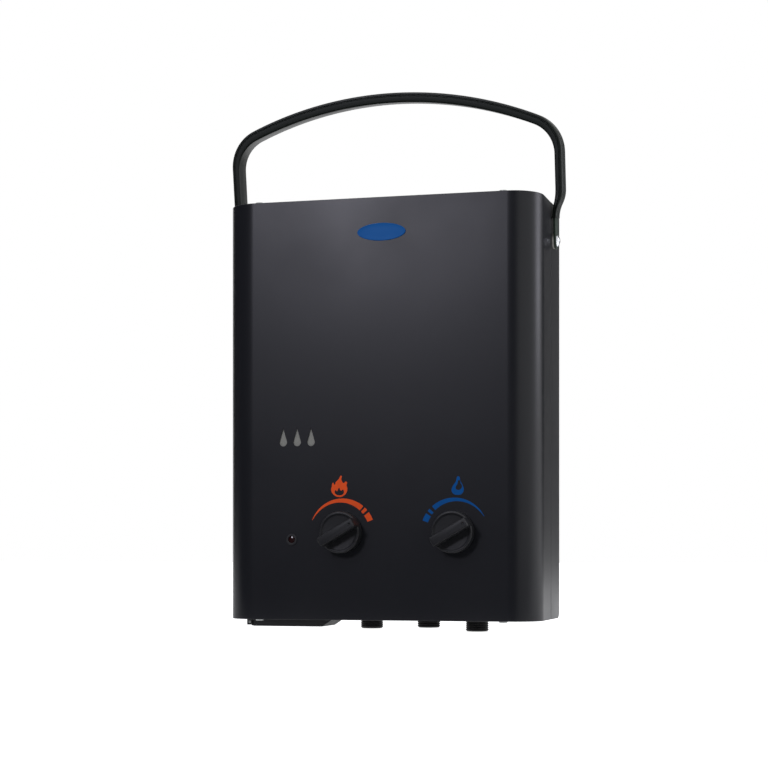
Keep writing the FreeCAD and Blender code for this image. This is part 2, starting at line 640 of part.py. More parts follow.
# Top and bottom plates: pressed sheets between the cover's flanges and the back sheet.
def plate_body(name, low, slot_x, slot_y, slot_length, slot_count, slot_span):
    """A flat plate with a row of vent slots and the case screw holes."""
    body = doc.addObject("PartDesign::Body", name)
    plan = sketch_on(body, "XY_Plane", name + "Plan", low)
    case_outline(plan, S["sheet_metal"] + S["slide_clearance"], -S["sheet_metal"])
    pad(body, name + "Sheet", plan, "sheet_metal")
    slot = sketch_on(body, "XY_Plane", name + "Slot", low)
    rectangle(slot, (slot_x, f"{slot_x} + vent_width"), (slot_y, f"{slot_y} + {slot_length}"))
    first = pocket(body, name + "FirstSlot", slot, "sheet_metal", reverse=True)
    row_of = body.newObject("PartDesign::LinearPattern", name + "Slots")
    row_of.Originals = [first]
    row_of.Direction = (slot, ["H_Axis"])
    bind(row_of, Length=slot_span, Occurrences=slot_count)
    body.Tip = row_of
    screws = sketch_on(body, "XY_Plane", name + "ScrewHoles", low)
    for sign in ("-1", "1"):
        for place in (back("screw_inset"), "-screw_inset"):
            circle(screws, "screw_radius + slide_clearance", f"{sign} * screw_spread", place)
    pocket(body, name + "Screws", screws, "sheet_metal", reverse=True)
    return body


top_plate = plate_body("TopPlate", f"{TOP} - 2 * sheet_metal",
                       "-(vent_count - 1) * vent_pitch / 2 - vent_width / 2",
                       back("burner_front + 10"), "vent_length", "vent_count",
                       "(vent_count - 1) * vent_pitch")
node("top_plate", top_plate)

bottom_plate = plate_body("BottomPlate", f"{FLOOR} + sheet_metal",
                          "-(intake_count - 1) * vent_pitch / 2 - vent_width / 2",
                          back("burner_front - 4"), "intake_length", "intake_count",
                          "(intake_count - 1) * vent_pitch")
ports = sketch_on(bottom_plate, "XY_Plane", "PortHoles", f"{FLOOR} + sheet_metal")
for offset in ("hot_port_offset", "gas_port_offset", "cold_port_offset"):
    circle(ports, "thread_radius + port_hole_gap", offset, back("port_setback"))
rectangle(ports, ("battery_left - slide_clearance",
                  "battery_left + battery_width + slide_clearance"),
          (back("battery_front - slide_clearance"),
           back("battery_front + battery_depth + slide_clearance")))
pocket(bottom_plate, "Ports", ports, "sheet_metal", reverse=True)
node("bottom_plate", bottom_plate)

# Draft hood: a sheet duct from the heat exchanger to the exhaust slots.
BURNER_X = ("-burner_half_width", "burner_half_width")
BURNER_Y = (back("burner_front"), back("burner_front + burner_depth"))


def sheet_duct(name, z_span, wall="sheet_metal"):
    """A rectangular duct, open at both ends, in line with the burner."""
    outer = block(name + "Outer", BURNER_X, BURNER_Y, z_span)
    inner = block(name + "Inner", (f"{BURNER_X[0]} + {wall}", f"{BURNER_X[1]} - {wall}"),
                  (f"{BURNER_Y[0]} + {wall}", f"{BURNER_Y[1]} - {wall}"),
                  (f"{z_span[0]} - 1", f"{z_span[1]} + 1"))
    return cut(name, outer, inner)


node("draft_hood", sheet_duct("DraftHood", (up("chamber_top"), f"{TOP} - 2 * sheet_metal")))


# Case screws: pan heads that hold the cover and the back sheet to the two plates.
def case_screw(name, x_place, y_place, face, outward):
    """One screw; outward is 1 for a head above the face and -1 for one below it."""
    head = (face, f"{face} + screw_head_height") if outward > 0 \
        else (f"{face} - screw_head_height", face)
    shank = (f"{face} - screw_grip", face) if outward > 0 else (face, f"{face} + screw_grip")
    return join(name, rod(name + "Head", "Z", "screw_head_radius", (x_place, y_place), head),
                rod(name + "Shank", "Z", "screw_radius", (x_place, y_place), shank))


case_screws = []
for x_name, sign in (("Left", "-1"), ("Right", "1")):
    for y_name, place in (("Front", back("screw_inset")), ("Rear", "-screw_inset")):
        for z_name, face, outward in (("Top", TOP, 1), ("Bottom", FLOOR, -1)):
            case_screws.append(case_screw(f"{z_name}{y_name}{x_name}Screw",
                                          f"{sign} * screw_spread", place, face, outward))
node("case_screws", group("CaseScrews", *case_screws))

# Handle: a moulded grip over a bent steel band that turns on two screws.
PIVOT_Y, PIVOT_Z = back("cover_depth + pivot_inset"), f"({TOP} - pivot_drop)"


def arch_side(reach, rise, corner, arch):
    """Right half of an arch: corner centre, arch centre and the point where they meet."""
    corner_x = reach - corner
    centre_z = rise - arch
    corner_z = centre_z + math.sqrt((arch - corner) ** 2 - corner_x ** 2)
    turn = math.atan2(corner_z - centre_z, corner_x)
    meet = Vector(corner_x + corner * math.cos(turn), 0, corner_z + corner * math.sin(turn))
    middle = Vector(corner_x + corner * math.cos(turn / 2), 0,
                    corner_z + corner * math.sin(turn / 2))
    return Vector(reach, 0, corner_z), middle, meet


def mirrored(points):
    """The same points on the left."""
    return [Vector(-point.x, point.y, point.z) for point in points]


def arch_edges(reach, rise, corner, arch):
    """Left corner, arch and right corner of one face of the handle."""
    side, middle, meet = arch_side(reach, rise, corner, arch)
    left_side, left_middle, left_meet = mirrored([side, middle, meet])
    return [Part.Arc(left_side, left_middle, left_meet).toShape(),
            Part.Arc(left_meet, Vector(0, 0, rise), meet).toShape(),
            Part.Arc(meet, middle, side).toShape()]


def bow(low, high):
    """Two equal tangent arcs that shift an upright line sideways."""
    middle = (low + high) / 2
    shift, climb = high.x - low.x, high.z - low.z
    bend = (climb ** 2 + shift ** 2) / (4 * abs(shift))
    half_turn = math.asin(climb / 2 / bend) / 2
    side = 1 if shift > 0 else -1
    first = Vector(low.x + side * bend * (1 - math.cos(half_turn)), 0,
                   low.z + bend * math.sin(half_turn))
    last = Vector(high.x - side * bend * (1 - math.cos(half_turn)), 0,
                  high.z - bend * math.sin(half_turn))
    return [Part.Arc(low, first, middle).toShape(), Part.Arc(middle, last, high).toShape()]


def handle_face(edges, width):
    """A closed outline in the handle's plane, thickened front to back."""
    face = Part.Face(Part.Wire(Part.__sortEdges__(edges)))
    solid = face.extrude(Vector(0, width, 0))
    solid.translate(Vector(0, -width / 2, 0))
    return solid


def lean(solid):
    """Tilt a handle solid forward about the pivot and put it in place."""
    solid.rotate(Vector(), Vector(1, 0, 0), S["handle_lean"])
    solid.translate(Vector(0, y_at(S["cover_depth"] + S["pivot_inset"]), S["hang_drop"] - S["pivot_drop"]))
    return solid


case_side = S["case_width"] / 2
band_inner = case_side + S["spacer_thickness"] + S["slide_clearance"]
band_outer = band_inner + S["band_thickness"]
arm_middle = S["handle_reach"] - S["grip_thickness"] / 2


def band_solid(width):
    """The steel band: two lugs, two bowed arms and an arch."""
    half = S["band_thickness"] / 2
    centre_rise = S["handle_rise"] - S["grip_crown"] / 2
    centre_corner = S["grip_corner_radius"] - S["grip_thickness"] / 2
    centre_arch = S["grip_arch_radius"] - S["grip_crown"] / 2
    edges = []
    for offset in (-half, half):
        edges += arch_edges(arm_middle + offset, centre_rise + offset, centre_corner + offset,
                            centre_arch + offset)
        corner_low = arch_side(arm_middle + offset, centre_rise + offset,
                               centre_corner + offset, centre_arch + offset)[0]
        lug_x = (band_inner + band_outer) / 2 + offset
        lug_top = Vector(lug_x, 0, S["grip_start"] - 4)
        lug_low = Vector(lug_x, 0, -S["band_width"] / 2)
        arm_low = Vector(corner_low.x, 0, S["grip_bow"])
        for low, high in ((lug_low, lug_top), (arm_low, corner_low)):
            edges.append(Part.LineSegment(low, high).toShape())
            edges.append(Part.LineSegment(*mirrored([low, high])).toShape())
        edges += bow(lug_top, arm_low)
        edges += bow(*mirrored([lug_top, arm_low]))
    for sign in (-1, 1):
        lug_x = (band_inner + band_outer) / 2
        edges.append(Part.LineSegment(
            Vector(sign * (lug_x - half), 0, -S["band_width"] / 2),
            Vector(sign * (lug_x + half), 0, -S["band_width"] / 2)).toShape())
    return handle_face(edges, width)


band_shape = band_solid(S["band_width"])
lug_span = 2 * (band_outer + 5)
lug_end = Part.makeCylinder(S["band_width"] / 2, lug_span, Vector(-lug_span / 2, 0, 0),
                            Vector(1, 0, 0))
lug_keep = Part.makeBox(lug_span, S["band_width"], S["handle_rise"],
                        Vector(-lug_span / 2, -S["band_width"] / 2, 0))
pivot_bore = Part.makeCylinder(S["pivot_radius"] + S["running_clearance"], lug_span,
                               Vector(-lug_span / 2, 0, 0), Vector(1, 0, 0))
band_shape = band_shape.common(lug_end.fuse(lug_keep)).cut(pivot_bore)
node("handle_band", feature("HandleBand", lean(band_shape)))


def grip_solid():
    """The moulded grip before the band's slot is cut."""
    outer = arch_edges(S["handle_reach"], S["handle_rise"], S["grip_corner_radius"],
                       S["grip_arch_radius"])
    inner_reach = S["handle_reach"] - S["grip_thickness"]
    inner_corner = S["grip_corner_radius"] - S["grip_thickness"]
    inner = arch_edges(inner_reach, S["handle_rise"] - S["grip_crown"], inner_corner,
                       S["grip_arch_radius"] - S["grip_crown"])
    outer_low = arch_side(S["handle_reach"], S["handle_rise"], S["grip_corner_radius"],
                          S["grip_arch_radius"])[0]
    inner_low = arch_side(inner_reach, S["handle_rise"] - S["grip_crown"], inner_corner,
                          S["grip_arch_radius"] - S["grip_crown"])[0]
    outer_bow = Vector(outer_low.x, 0, S["grip_bow"])
    inner_bow = Vector(inner_low.x, 0, S["grip_bow"])
    outer_end = Vector(band_outer + S["grip_outer_wall"], 0, S["grip_start"])
    inner_end = Vector(band_inner - S["grip_inner_wall"], 0, S["grip_start"])
    edges = outer + inner
    for low, high in ((outer_bow, outer_low), (inner_bow, inner_low), (inner_end, outer_end)):
        edges.append(Part.LineSegment(low, high).toShape())
        edges.append(Part.LineSegment(*mirrored([low, high])).toShape())
    for low, high in ((outer_end, outer_bow), (inner_end, inner_bow)):
        edges += bow(low, high)
        edges += bow(*mirrored([low, high]))
    return handle_face(edges, S["grip_width"])


grip_shape = grip_solid()
long_edges = [edge for edge in grip_shape.Edges
              if abs(edge.BoundBox.YLength) < 1e-6 and edge.Length > 8]
grip_shape = grip_shape.makeFillet(S["grip_edge"], long_edges)
grip_shape = grip_shape.cut(band_solid(S["band_width"]))
node("handle_grip", feature("HandleGrip", lean(grip_shape)))

# Handle hardware: domed pivot screws, nylon spacers and nuts.
pivot_screws, spacers, nuts = [], [], []
for side, sign in (("Left", -1), ("Right", 1)):
    seat = band_outer + S["slide_clearance"]
    dome_radius = (S["pivot_head_radius"] ** 2 + S["pivot_head_height"] ** 2) \
        / (2 * S["pivot_head_height"])
    dome = Part.makeSphere(dome_radius, Vector(seat + S["pivot_head_height"] - dome_radius, 0, 0))
    dome = dome.common(Part.makeBox(dome_radius, 3 * dome_radius, 3 * dome_radius,
                                    Vector(seat, -1.5 * dome_radius, -1.5 * dome_radius)))
    shank_low = case_side - 2 * S["sheet_metal"] - S["nut_height"] - 2
    shank = Part.makeCylinder(S["pivot_radius"], seat - shank_low, Vector(shank_low, 0, 0),
                              Vector(1, 0, 0))
    screw = dome.fuse(shank)
    if sign < 0:
        screw = screw.mirror(Vector(), Vector(1, 0, 0))
    screw.translate(Vector(0, y_at(S["cover_depth"] + S["pivot_inset"]), S["hang_drop"] - S["pivot_drop"]))
    pivot_screws.append(feature(f"{side}PivotScrew", screw))
    near = f"{sign} * case_width / 2" if sign > 0 else "-case_width / 2 - spacer_thickness"
    spacer = rod(f"{side}SpacerDisc", "X", "spacer_radius", (PIVOT_Y, PIVOT_Z),
                 (near, f"{near} + spacer_thickness"))
    spacers.append(cut(f"{side}Spacer", spacer,
                       rod(f"{side}SpacerHole", "X", "pivot_radius + running_clearance",
                           (PIVOT_Y, PIVOT_Z), (f"{near} - 1", f"{near} + spacer_thickness + 1"))))
    inner = "case_width / 2 - sheet_metal - nut_height" if sign > 0 \
        else "-case_width / 2 + sheet_metal"
    nut = hexagon(f"{side}NutBlank", "X", "nut_radius", (PIVOT_Y, PIVOT_Z),
                  (inner, f"{inner} + nut_height"))
    nuts.append(cut(f"{side}Nut", nut,
                    rod(f"{side}NutBore", "X", "pivot_radius", (PIVOT_Y, PIVOT_Z),
                        (f"{inner} - 1", f"{inner} + nut_height + 1"))))
node("handle_pivot_screws", group("PivotScrews", *pivot_screws))
node("handle_spacers", group("PivotSpacers", *spacers))
node("handle_nuts", group("PivotNuts", *nuts))


# Knobs: a dished disc with a full-width grip bar, pressed on a spindle.
def rounded(name, base, radius, chosen):
    """Round the edges of a solid that a test chooses."""
    doc.recompute()
    fillet = doc.addObject("Part::Fillet", name)
    fillet.Base = base
    fillet.Edges = [(index, S[radius], S[radius])
                    for index, edge in enumerate(base.Shape.Edges, start=1) if chosen(edge)]
    return fillet


def knob(name, label, offset):
    """One knob with its pointer to the right, then turned to its rest angle."""
    own_axis = ("0", "0")
    knob_back = "-knob_gap"
    disc_front = "-knob_gap - knob_disc_height"
    disc = rod(name + "Disc", "Y", "knob_radius", own_axis, (disc_front, knob_back))
    front = -S["knob_gap"] - S["knob_disc_height"]
    disc = rounded(name + "Rim", disc, "knob_edge",
                   lambda edge: abs(edge.BoundBox.YMax - front) < 1e-4)
    dish = rod(name + "Dish", "Y", "knob_radius - knob_rim", own_axis,
               (f"{disc_front} - 1", f"{disc_front} + knob_dish"))
    dished = cut(name + "Dished", disc, dish)
    bar_block = block(name + "BarBlock", ("-knob_radius", "knob_radius"),
                      ("-knob_height", knob_back), ("-knob_bar_width / 2", "knob_bar_width / 2"))
    bar = doc.addObject("Part::MultiCommon", name + "Bar")
    bar.Shapes = [bar_block, rod(name + "BarEnds", "Y", "knob_radius", own_axis,
                                 ("-knob_height - 1", "1"))]
    bar = rounded(name + "BarRound", bar, "knob_edge",
                  lambda edge: abs(edge.BoundBox.YMax + S["knob_height"]) < 1e-4)
    bore = rod(name + "Bore", "Y", "spindle_radius", own_axis,
               ("-spindle_engagement", "1"))
    pointer = rod(name + "Pointer", "Y", "pointer_radius",
                  ("knob_radius - pointer_inset", "0"),
                  ("-knob_height - 1", "-knob_height + pointer_depth"))
    body = cut(name, join(name + "Solid", dished, bar), bore, pointer)
    body.Placement = Placement(Vector(), Rotation(Vector(0, -1, 0), S["pointer_angle"]))
    bind(body, Placement__Base__x=offset, Placement__Base__y=FRONT,
         Placement__Base__z=up("knob_axis_height"))
    return node(label, body)


knob("GasKnob", "gas_knob", "gas_knob_offset")
knob("WaterKnob", "water_knob", "water_knob_offset")

GAS_VALVE_Y = ("valve_setback - gas_valve_size / 2", "valve_setback + gas_valve_size / 2")
WATER_VALVE_Y = ("valve_setback - water_valve_depth / 2", "valve_setback + water_valve_depth / 2")
AXIS_Y, AXIS_Z = back("valve_setback"), up("knob_axis_height")
for label, offset, face in (("gas_spindle", "gas_knob_offset", GAS_VALVE_Y[0]),
                            ("water_spindle", "water_knob_offset", WATER_VALVE_Y[0])):
    node(label, rod(label.title().replace("_", ""), "Y", "spindle_radius", (offset, AXIS_Z),
                    (back("-spindle_engagement"),
                     back(f"{face} + spindle_socket - slide_clearance"))))

# Indicator lamp: a bezel with a sleeve through the cover and a lens in it.
lamp_place = ("lamp_offset", up("lamp_height"))
bezel = join("BezelSolid",
             rod("BezelFlange", "Y", "lamp_bezel_radius", lamp_place, (f"{FRONT} - lamp_flange", FRONT)),
             rod("BezelSleeve", "Y", "lamp_sleeve_radius", lamp_place, (FRONT, back("lamp_depth"))))
node("indicator_bezel", cut("Bezel", bezel,
                            rod("BezelBore", "Y", "lamp_lens_radius", lamp_place,
                                (f"{FRONT} - 4", back("lamp_depth + 1")))))
node("indicator_lens", rod("Lens", "Y", "lamp_lens_radius", lamp_place,
                           (f"{FRONT} - lamp_flange / 2", back("lamp_depth - 1"))))

# Window: a mica pane behind the three teardrops and the steel frame that holds it.
pane_reach = "window_pitch + window_radius + pane_margin"
PANE_X = (f"window_middle - ({pane_reach})", f"window_middle + ({pane_reach})")
PANE_Z = (up("window_height - pane_margin"), up("window_height + window_length + pane_margin"))
node("window_pane", block("Pane", PANE_X, (back("sheet_metal"), back("sheet_metal + pane_thickness")),
                          PANE_Z))
window_frame = block("WindowFrameBlank", PANE_X,
                     (back("sheet_metal + pane_thickness"), back("2 * sheet_metal + pane_thickness")),
                     PANE_Z)
window_opening = block("WindowFrameOpening",
                       (f"{PANE_X[0]} + frame_border", f"{PANE_X[1]} - frame_border"),
                       (back("0"), back("4 * sheet_metal")),
                       (f"{PANE_Z[0]} + frame_border", f"{PANE_Z[1]} - frame_border"))
node("window_frame", cut("WindowFrame", window_frame, window_opening))

# Badge: a plain raised oval plate.
badge_outline = doc.addObject("Part::Ellipse", "BadgeOutline")
bind(badge_outline, MajorRadius="badge_length / 2", MinorRadius="badge_width / 2")
badge_outline.Placement = Placement(Vector(), Rotation(Vector(1, 0, 0), 90))
bind(badge_outline, Placement__Base__x="badge_offset", Placement__Base__y=FRONT,
     Placement__Base__z=up("badge_height"))
badge_plate = doc.addObject("Part::Extrusion", "Badge")
badge_plate.Base, badge_plate.Solid = badge_outline, True
badge_plate.DirMode, badge_plate.Dir = "Custom", Vector(0, -1, 0)
bind(badge_plate, LengthFwd="badge_thickness")
node("badge", badge_plate)


# Pipe connections: threaded nipples whose collars seat on the bottom plate.
def nipple(name, label, offset, drop, top, neck_bore):
    """One nipple with its bore."""
    place = (offset, back("port_setback"))
    collar_seat = up("2 * sheet_metal")
    collar_top = up("2 * sheet_metal + collar_height")
    solid = join(name + "Solid",
                 rod(name + "Thread", "Z", "thread_radius", place, (up(f"-{drop}"), collar_seat)),
                 rod(name + "Collar", "Z", "collar_radius", place, (collar_seat, collar_top)),
                 rod(name + "Neck", "Z", "port_neck_radius", place, (collar_top, up(top))))
    return node(label, cut(name, solid,
                           rod(name + "Bore", "Z", "port_bore_radius", place,
                               (up(f"-{drop} - 1"), collar_top)),
                           rod(name + "NeckBore", "Z", neck_bore, place,
                               (collar_seat, up(f"{top} + 1")))))


nipple("HotOutlet", "hot_outlet", "hot_port_offset", "hot_port_drop", "port_neck_top",
       "pipe_radius - pipe_wall")
nipple("GasInlet", "gas_inlet", "gas_port_offset", "gas_port_drop", "port_neck_top",
       "gas_pipe_radius - pipe_wall")
nipple("ColdInlet", "cold_inlet", "cold_port_offset", "cold_port_drop", "port_neck_top",
       "pipe_radius - pipe_wall")

# Inlet filter: a mesh cup in the cold inlet.
filter_place = ("cold_port_offset", back("port_setback"))
filter_low = "3 * sheet_metal + collar_height - filter_length"
filter_cup = rod("FilterCup", "Z", "filter_radius", filter_place,
                 (up(f"{filter_low} - 2 * sheet_metal"), up("sheet_metal + collar_height")))
filter_hollow = rod("FilterHollow", "Z", "filter_radius - sheet_metal", filter_place,
                    (up(f"{filter_low} - 3 * sheet_metal"), up("collar_height")))
node("inlet_filter", cut("InletFilter", filter_cup, filter_hollow))

# Gas valve: a cast body with a poppet chamber, a seat, an entry chamber and a guide bore.
GAS_Z = (up("knob_axis_height - gas_valve_size / 2"), up("knob_axis_height + gas_valve_size / 2"))
guide_left = "gas_valve_right - gas_guide_length"
entry_left = f"{guide_left} - gas_entry_length"
seat_left = f"{entry_left} - gas_seat_length"
chamber_left = f"{seat_left} - gas_chamber_length"
rod_axis = (AXIS_Y, AXIS_Z)
gas_block = block("GasValveBlock", ("gas_valve_left", "gas_valve_right"),
                  (back(GAS_VALVE_Y[0]), back(GAS_VALVE_Y[1])), GAS_Z)
node("gas_valve_body", cut(
    "GasValveBody", gas_block,
    rod("GasChamber", "X", "gas_chamber_radius", rod_axis, (chamber_left, seat_left)),
    rod("GasSeat", "X", "gas_seat_radius", rod_axis, (seat_left, entry_left)),
    rod("GasEntry", "X", "gas_chamber_radius", rod_axis, (entry_left, guide_left)),
    rod("GasGuide", "X", "rod_radius + running_clearance", rod_axis,
        (guide_left, "gas_valve_right + 1")),
    rod("GasOutletBore", "Z", "gas_outlet_radius", ("gas_outlet_offset", AXIS_Y),
        (AXIS_Z, f"{GAS_Z[1]} + 1")),
    rod("GasInletBore", "Z", "gas_pipe_radius - pipe_wall",
        ("gas_pipe_offset", back("port_setback")), (f"{GAS_Z[0]} - 1", AXIS_Z)),
    rod("GasSpindleSocket", "Y", "spindle_radius + running_clearance",
        ("gas_knob_offset", AXIS_Z),
        (back(f"{GAS_VALVE_Y[0]} - 1"), back(f"{GAS_VALVE_Y[0]} + spindle_socket")))))
node("solenoid", rod("Solenoid", "X", "solenoid_radius",
                     (AXIS_Y, f"{AXIS_Z} + solenoid_lift"),
                     ("gas_valve_left - solenoid_length", "gas_valve_left")))
port_y = y_at(S["port_setback"])
gas_low = z_at(S["gas_pipe_height"])
gas_floor = z_at(S["knob_axis_height"] - S["gas_valve_size"] / 2)
gas_roof = z_at(S["knob_axis_height"] + S["gas_valve_size"] / 2)
neck_top = z_at(S["port_neck_top"])
node("gas_pipe", pipe("GasPipe",
                      [Vector(S["gas_port_offset"], port_y, neck_top),
                       Vector(S["gas_port_offset"], port_y, gas_low),
                       Vector(S["gas_pipe_offset"], port_y, gas_low),
                       Vector(S["gas_pipe_offset"], port_y, gas_floor)],
                      S["gas_pipe_radius"], S["pipe_wall"], S["pipe_bend"]))

# Manifold, riser and jets.
jet_places = [(index - (S["bar_count"] - 1) / 2) * S["bar_pitch"]
              for index in range(int(S["bar_count"]))]
manifold_reach = "((bar_count - 1) * bar_pitch / 2 + manifold_overhang)"
manifold_axis = (back("manifold_setback"), up("jet_height"))
manifold_bar = rod("ManifoldBar", "X", "manifold_radius", manifold_axis,
                   (f"-{manifold_reach}", manifold_reach))
manifold_bore = rod("ManifoldBore", "X", "manifold_radius - pipe_wall", manifold_axis,
                    (f"-{manifold_reach} + pipe_wall", f"{manifold_reach} - pipe_wall"))
manifold_entry = rod("ManifoldEntry", "Z", "gas_riser_radius - pipe_wall",
                     ("gas_outlet_offset", back("manifold_setback")),
                     (up("jet_height - manifold_radius - 1"), up("jet_height")))
node("gas_manifold", cut("GasManifold", manifold_bar, manifold_bore, manifold_entry))

valve_y, manifold_y = y_at(S["valve_setback"]), y_at(S["manifold_setback"])
jet_z = z_at(S["jet_height"])
riser_level = gas_roof + S["riser_rise"]
riser = tube_along([Vector(S["gas_outlet_offset"], valve_y, gas_roof),
                    Vector(S["gas_outlet_offset"], valve_y, riser_level),
                    Vector(S["gas_outlet_offset"], manifold_y, riser_level),
                    Vector(S["gas_outlet_offset"], manifold_y, jet_z)],
                   S["gas_riser_radius"], S["pipe_bend"])
riser_bore = tube_along([Vector(S["gas_outlet_offset"], valve_y, gas_roof),
                         Vector(S["gas_outlet_offset"], valve_y, riser_level),
                         Vector(S["gas_outlet_offset"], manifold_y, riser_level),
                         Vector(S["gas_outlet_offset"], manifold_y, jet_z)],
                        S["gas_riser_radius"] - S["pipe_wall"], S["pipe_bend"])
manifold_space = Part.makeCylinder(S["manifold_radius"], S["case_width"],
                                   Vector(-S["case_width"] / 2, manifold_y, jet_z), Vector(1, 0, 0))
node("gas_riser", feature("GasRiser", riser.cut(riser_bore).cut(manifold_space)))

jets = []
for index, place in enumerate(jet_places, start=1):
    jet = rod(f"JetBar{index}", "Y", "jet_radius", (str(place), up("jet_height")),
              (back("manifold_setback"), back("burner_front + jet_reach")))
    clearance = rod(f"JetSaddle{index}", "X", "manifold_radius", manifold_axis,
                    (f"{place} - 2 * jet_radius", f"{place} + 2 * jet_radius"))
    jets.append(cut(f"Jet{index}", jet, clearance))
node("burner_jets", group("BurnerJets", *jets))

# Burner: stainless bars on two ledges in a sheet frame.
ledge_low, ledge_top = up("burner_bottom + bar_ledge"), up("burner_bottom + bar_ledge + sheet_metal")
bars = []
for index, place in enumerate(jet_places, start=1):
    bar = block(f"BarBlock{index}", (f"{place} - bar_width / 2", f"{place} + bar_width / 2"),
                (f"{BURNER_Y[0]} + sheet_metal + slide_clearance",
                 f"{BURNER_Y[1]} - sheet_metal - slide_clearance"),
                (ledge_top, f"{ledge_top} + bar_height"))
    throat = rod(f"Throat{index}", "Y", "throat_radius", (str(place), up("jet_height")),
                 (BURNER_Y[0], f"{BURNER_Y[0]} + throat_depth"))
    slot = block(f"FlameSlot{index}",
                 (f"{place} - flame_slot_width / 2", f"{place} + flame_slot_width / 2"),
                 (f"{BURNER_Y[0]} + flame_slot_margin", f"{BURNER_Y[1]} - flame_slot_margin"),
                 (f"{ledge_top} + bar_height - flame_slot_depth", f"{ledge_top} + bar_height + 1"))
    bars.append(cut(f"BurnerBar{index}", bar, throat, slot))
node("burner_bars", group("BurnerBars", *bars))

frame_shell = block("FrameOuter", BURNER_X, BURNER_Y, (up("burner_bottom"), up("chamber_bottom")))
frame_inner = block("FrameInner", (f"{BURNER_X[0]} + sheet_metal", f"{BURNER_X[1]} - sheet_metal"),
                    (f"{BURNER_Y[0]} + sheet_metal", f"{BURNER_Y[1]} - sheet_metal"),
                    (up("burner_bottom - 1"), up("chamber_bottom + 1")))
frame_holes = [rod(f"JetHole{index}", "Y", "jet_radius + slide_clearance",
                   (str(place), up("jet_height")),
                   (f"{BURNER_Y[0]} - 2", f"{BURNER_Y[0]} + 3 * sheet_metal"))
               for index, place in enumerate(jet_places, start=1)]
for name, offset in (("Spark", "spark_offset"), ("Sensor", "sensor_offset")):
    frame_holes.append(rod(f"{name}Hole", "Y", "ceramic_radius + slide_clearance",
                           (offset, up("chamber_bottom - electrode_drop")),
                           (f"{BURNER_Y[0]} - 2", f"{BURNER_Y[0]} + 3 * sheet_metal")))
frame_holes.append(block("SightSlot", (f"{BURNER_X[0]} + sheet_metal", "window_middle + window_pitch"),
                         (f"{BURNER_Y[0]} - 2", f"{BURNER_Y[0]} + 3 * sheet_metal"),
                         (f"{ledge_top} + bar_height + sheet_metal", up("chamber_bottom - sheet_metal"))))
frame_walls = cut("FrameWalls", frame_shell, frame_inner, *frame_holes)
ledges = [block("LedgeFront", BURNER_X, (BURNER_Y[0], f"{BURNER_Y[0]} + ledge_width"),
                (ledge_low, ledge_top)),
          block("LedgeRear", BURNER_X, (f"{BURNER_Y[1]} - ledge_width", BURNER_Y[1]),
                (ledge_low, ledge_top))]
tabs = [block(f"RearTab{name}", (f"{sign} * tab_offset - tab_width / 2",
                                 f"{sign} * tab_offset + tab_width / 2"),
              (f"{BURNER_Y[1]} - sheet_metal", "-sheet_metal"),
              (ledge_top, f"{ledge_top} + 2 * sheet_metal"))
        for name, sign in (("Left", "-1"), ("Right", "1"))]
node("burner_frame", join("BurnerFrame", frame_walls, *ledges, *tabs))

# Combustion chamber and the finned heat exchanger in its upper part.
TUBE_Y = [f"{BURNER_Y[0]} + burner_depth / 2 + {step} * tube_spacing" for step in (-1, 0, 1)]
chamber = sheet_duct("ChamberWalls", (up("chamber_bottom"), up("chamber_top")))
tube_holes = [rod(f"ChamberTubeHole{index}", "X", "tube_radius", (place, up("tube_height")),
                  (f"{BURNER_X[0]} - 1", f"{BURNER_X[1]} + 1"))
              for index, place in enumerate(TUBE_Y, start=1)]
node("combustion_chamber", cut("CombustionChamber", chamber, *tube_holes))

fin_steps = int((S["burner_half_width"] - S["sheet_metal"] - S["fin_margin"]) // S["fin_pitch"])
fins = []
for step in range(-fin_steps, fin_steps + 1):
    fins.append(block(f"FinSheet{step + fin_steps + 1}",
                      (f"{step} * fin_pitch - fin_thickness / 2",
                       f"{step} * fin_pitch + fin_thickness / 2"),
                      (f"{BURNER_Y[0]} + sheet_metal", f"{BURNER_Y[1]} - sheet_metal"),
                      (up("fins_bottom"), up("chamber_top - fin_margin"))))
fin_stack = group("FinStack", *fins)
fin_holes = [rod(f"FinTubeHole{index}", "X", "tube_radius", (place, up("tube_height")),
                 (f"{BURNER_X[0]} - 1", f"{BURNER_X[1]} + 1"))
             for index, place in enumerate(TUBE_Y, start=1)]
node("exchanger_fins", cut("ExchangerFins", fin_stack, *fin_holes))

tube_z = z_at(S["tube_height"])
tube_rows = [y_at(S["burner_front"] + S["burner_depth"] / 2 + step * S["tube_spacing"])
             for step in (-1, 0, 1)]
tube_reach = S["burner_half_width"] + S["tube_overhang"]


def serpentine(radius):
    """Three tubes and two return bends as one solid bar."""
    front, middle, rear = tube_rows
    bend = S["tube_spacing"] / 2
    path = Part.Wire([
        Part.LineSegment(Vector(tube_reach, front, tube_z), Vector(-tube_reach, front, tube_z)).toShape(),
        Part.Arc(Vector(-tube_reach, front, tube_z),
                 Vector(-tube_reach - bend, (front + middle) / 2, tube_z),
                 Vector(-tube_reach, middle, tube_z)).toShape(),
        Part.LineSegment(Vector(-tube_reach, middle, tube_z), Vector(tube_reach, middle, tube_z)).toShape(),
        Part.Arc(Vector(tube_reach, middle, tube_z),
                 Vector(tube_reach + bend, (middle + rear) / 2, tube_z),
                 Vector(tube_reach, rear, tube_z)).toShape(),
        Part.LineSegment(Vector(tube_reach, rear, tube_z), Vector(-tube_reach, rear, tube_z)).toShape()])
    ring = Part.Wire(Part.makeCircle(radius, Vector(tube_reach, front, tube_z), Vector(1, 0, 0)))
    return path.makePipeShell([ring], True, False)


node("exchanger_tubes", feature("ExchangerTubes", serpentine(S["tube_radius"]).cut(
    serpentine(S["tube_radius"] - S["pipe_wall"]))))

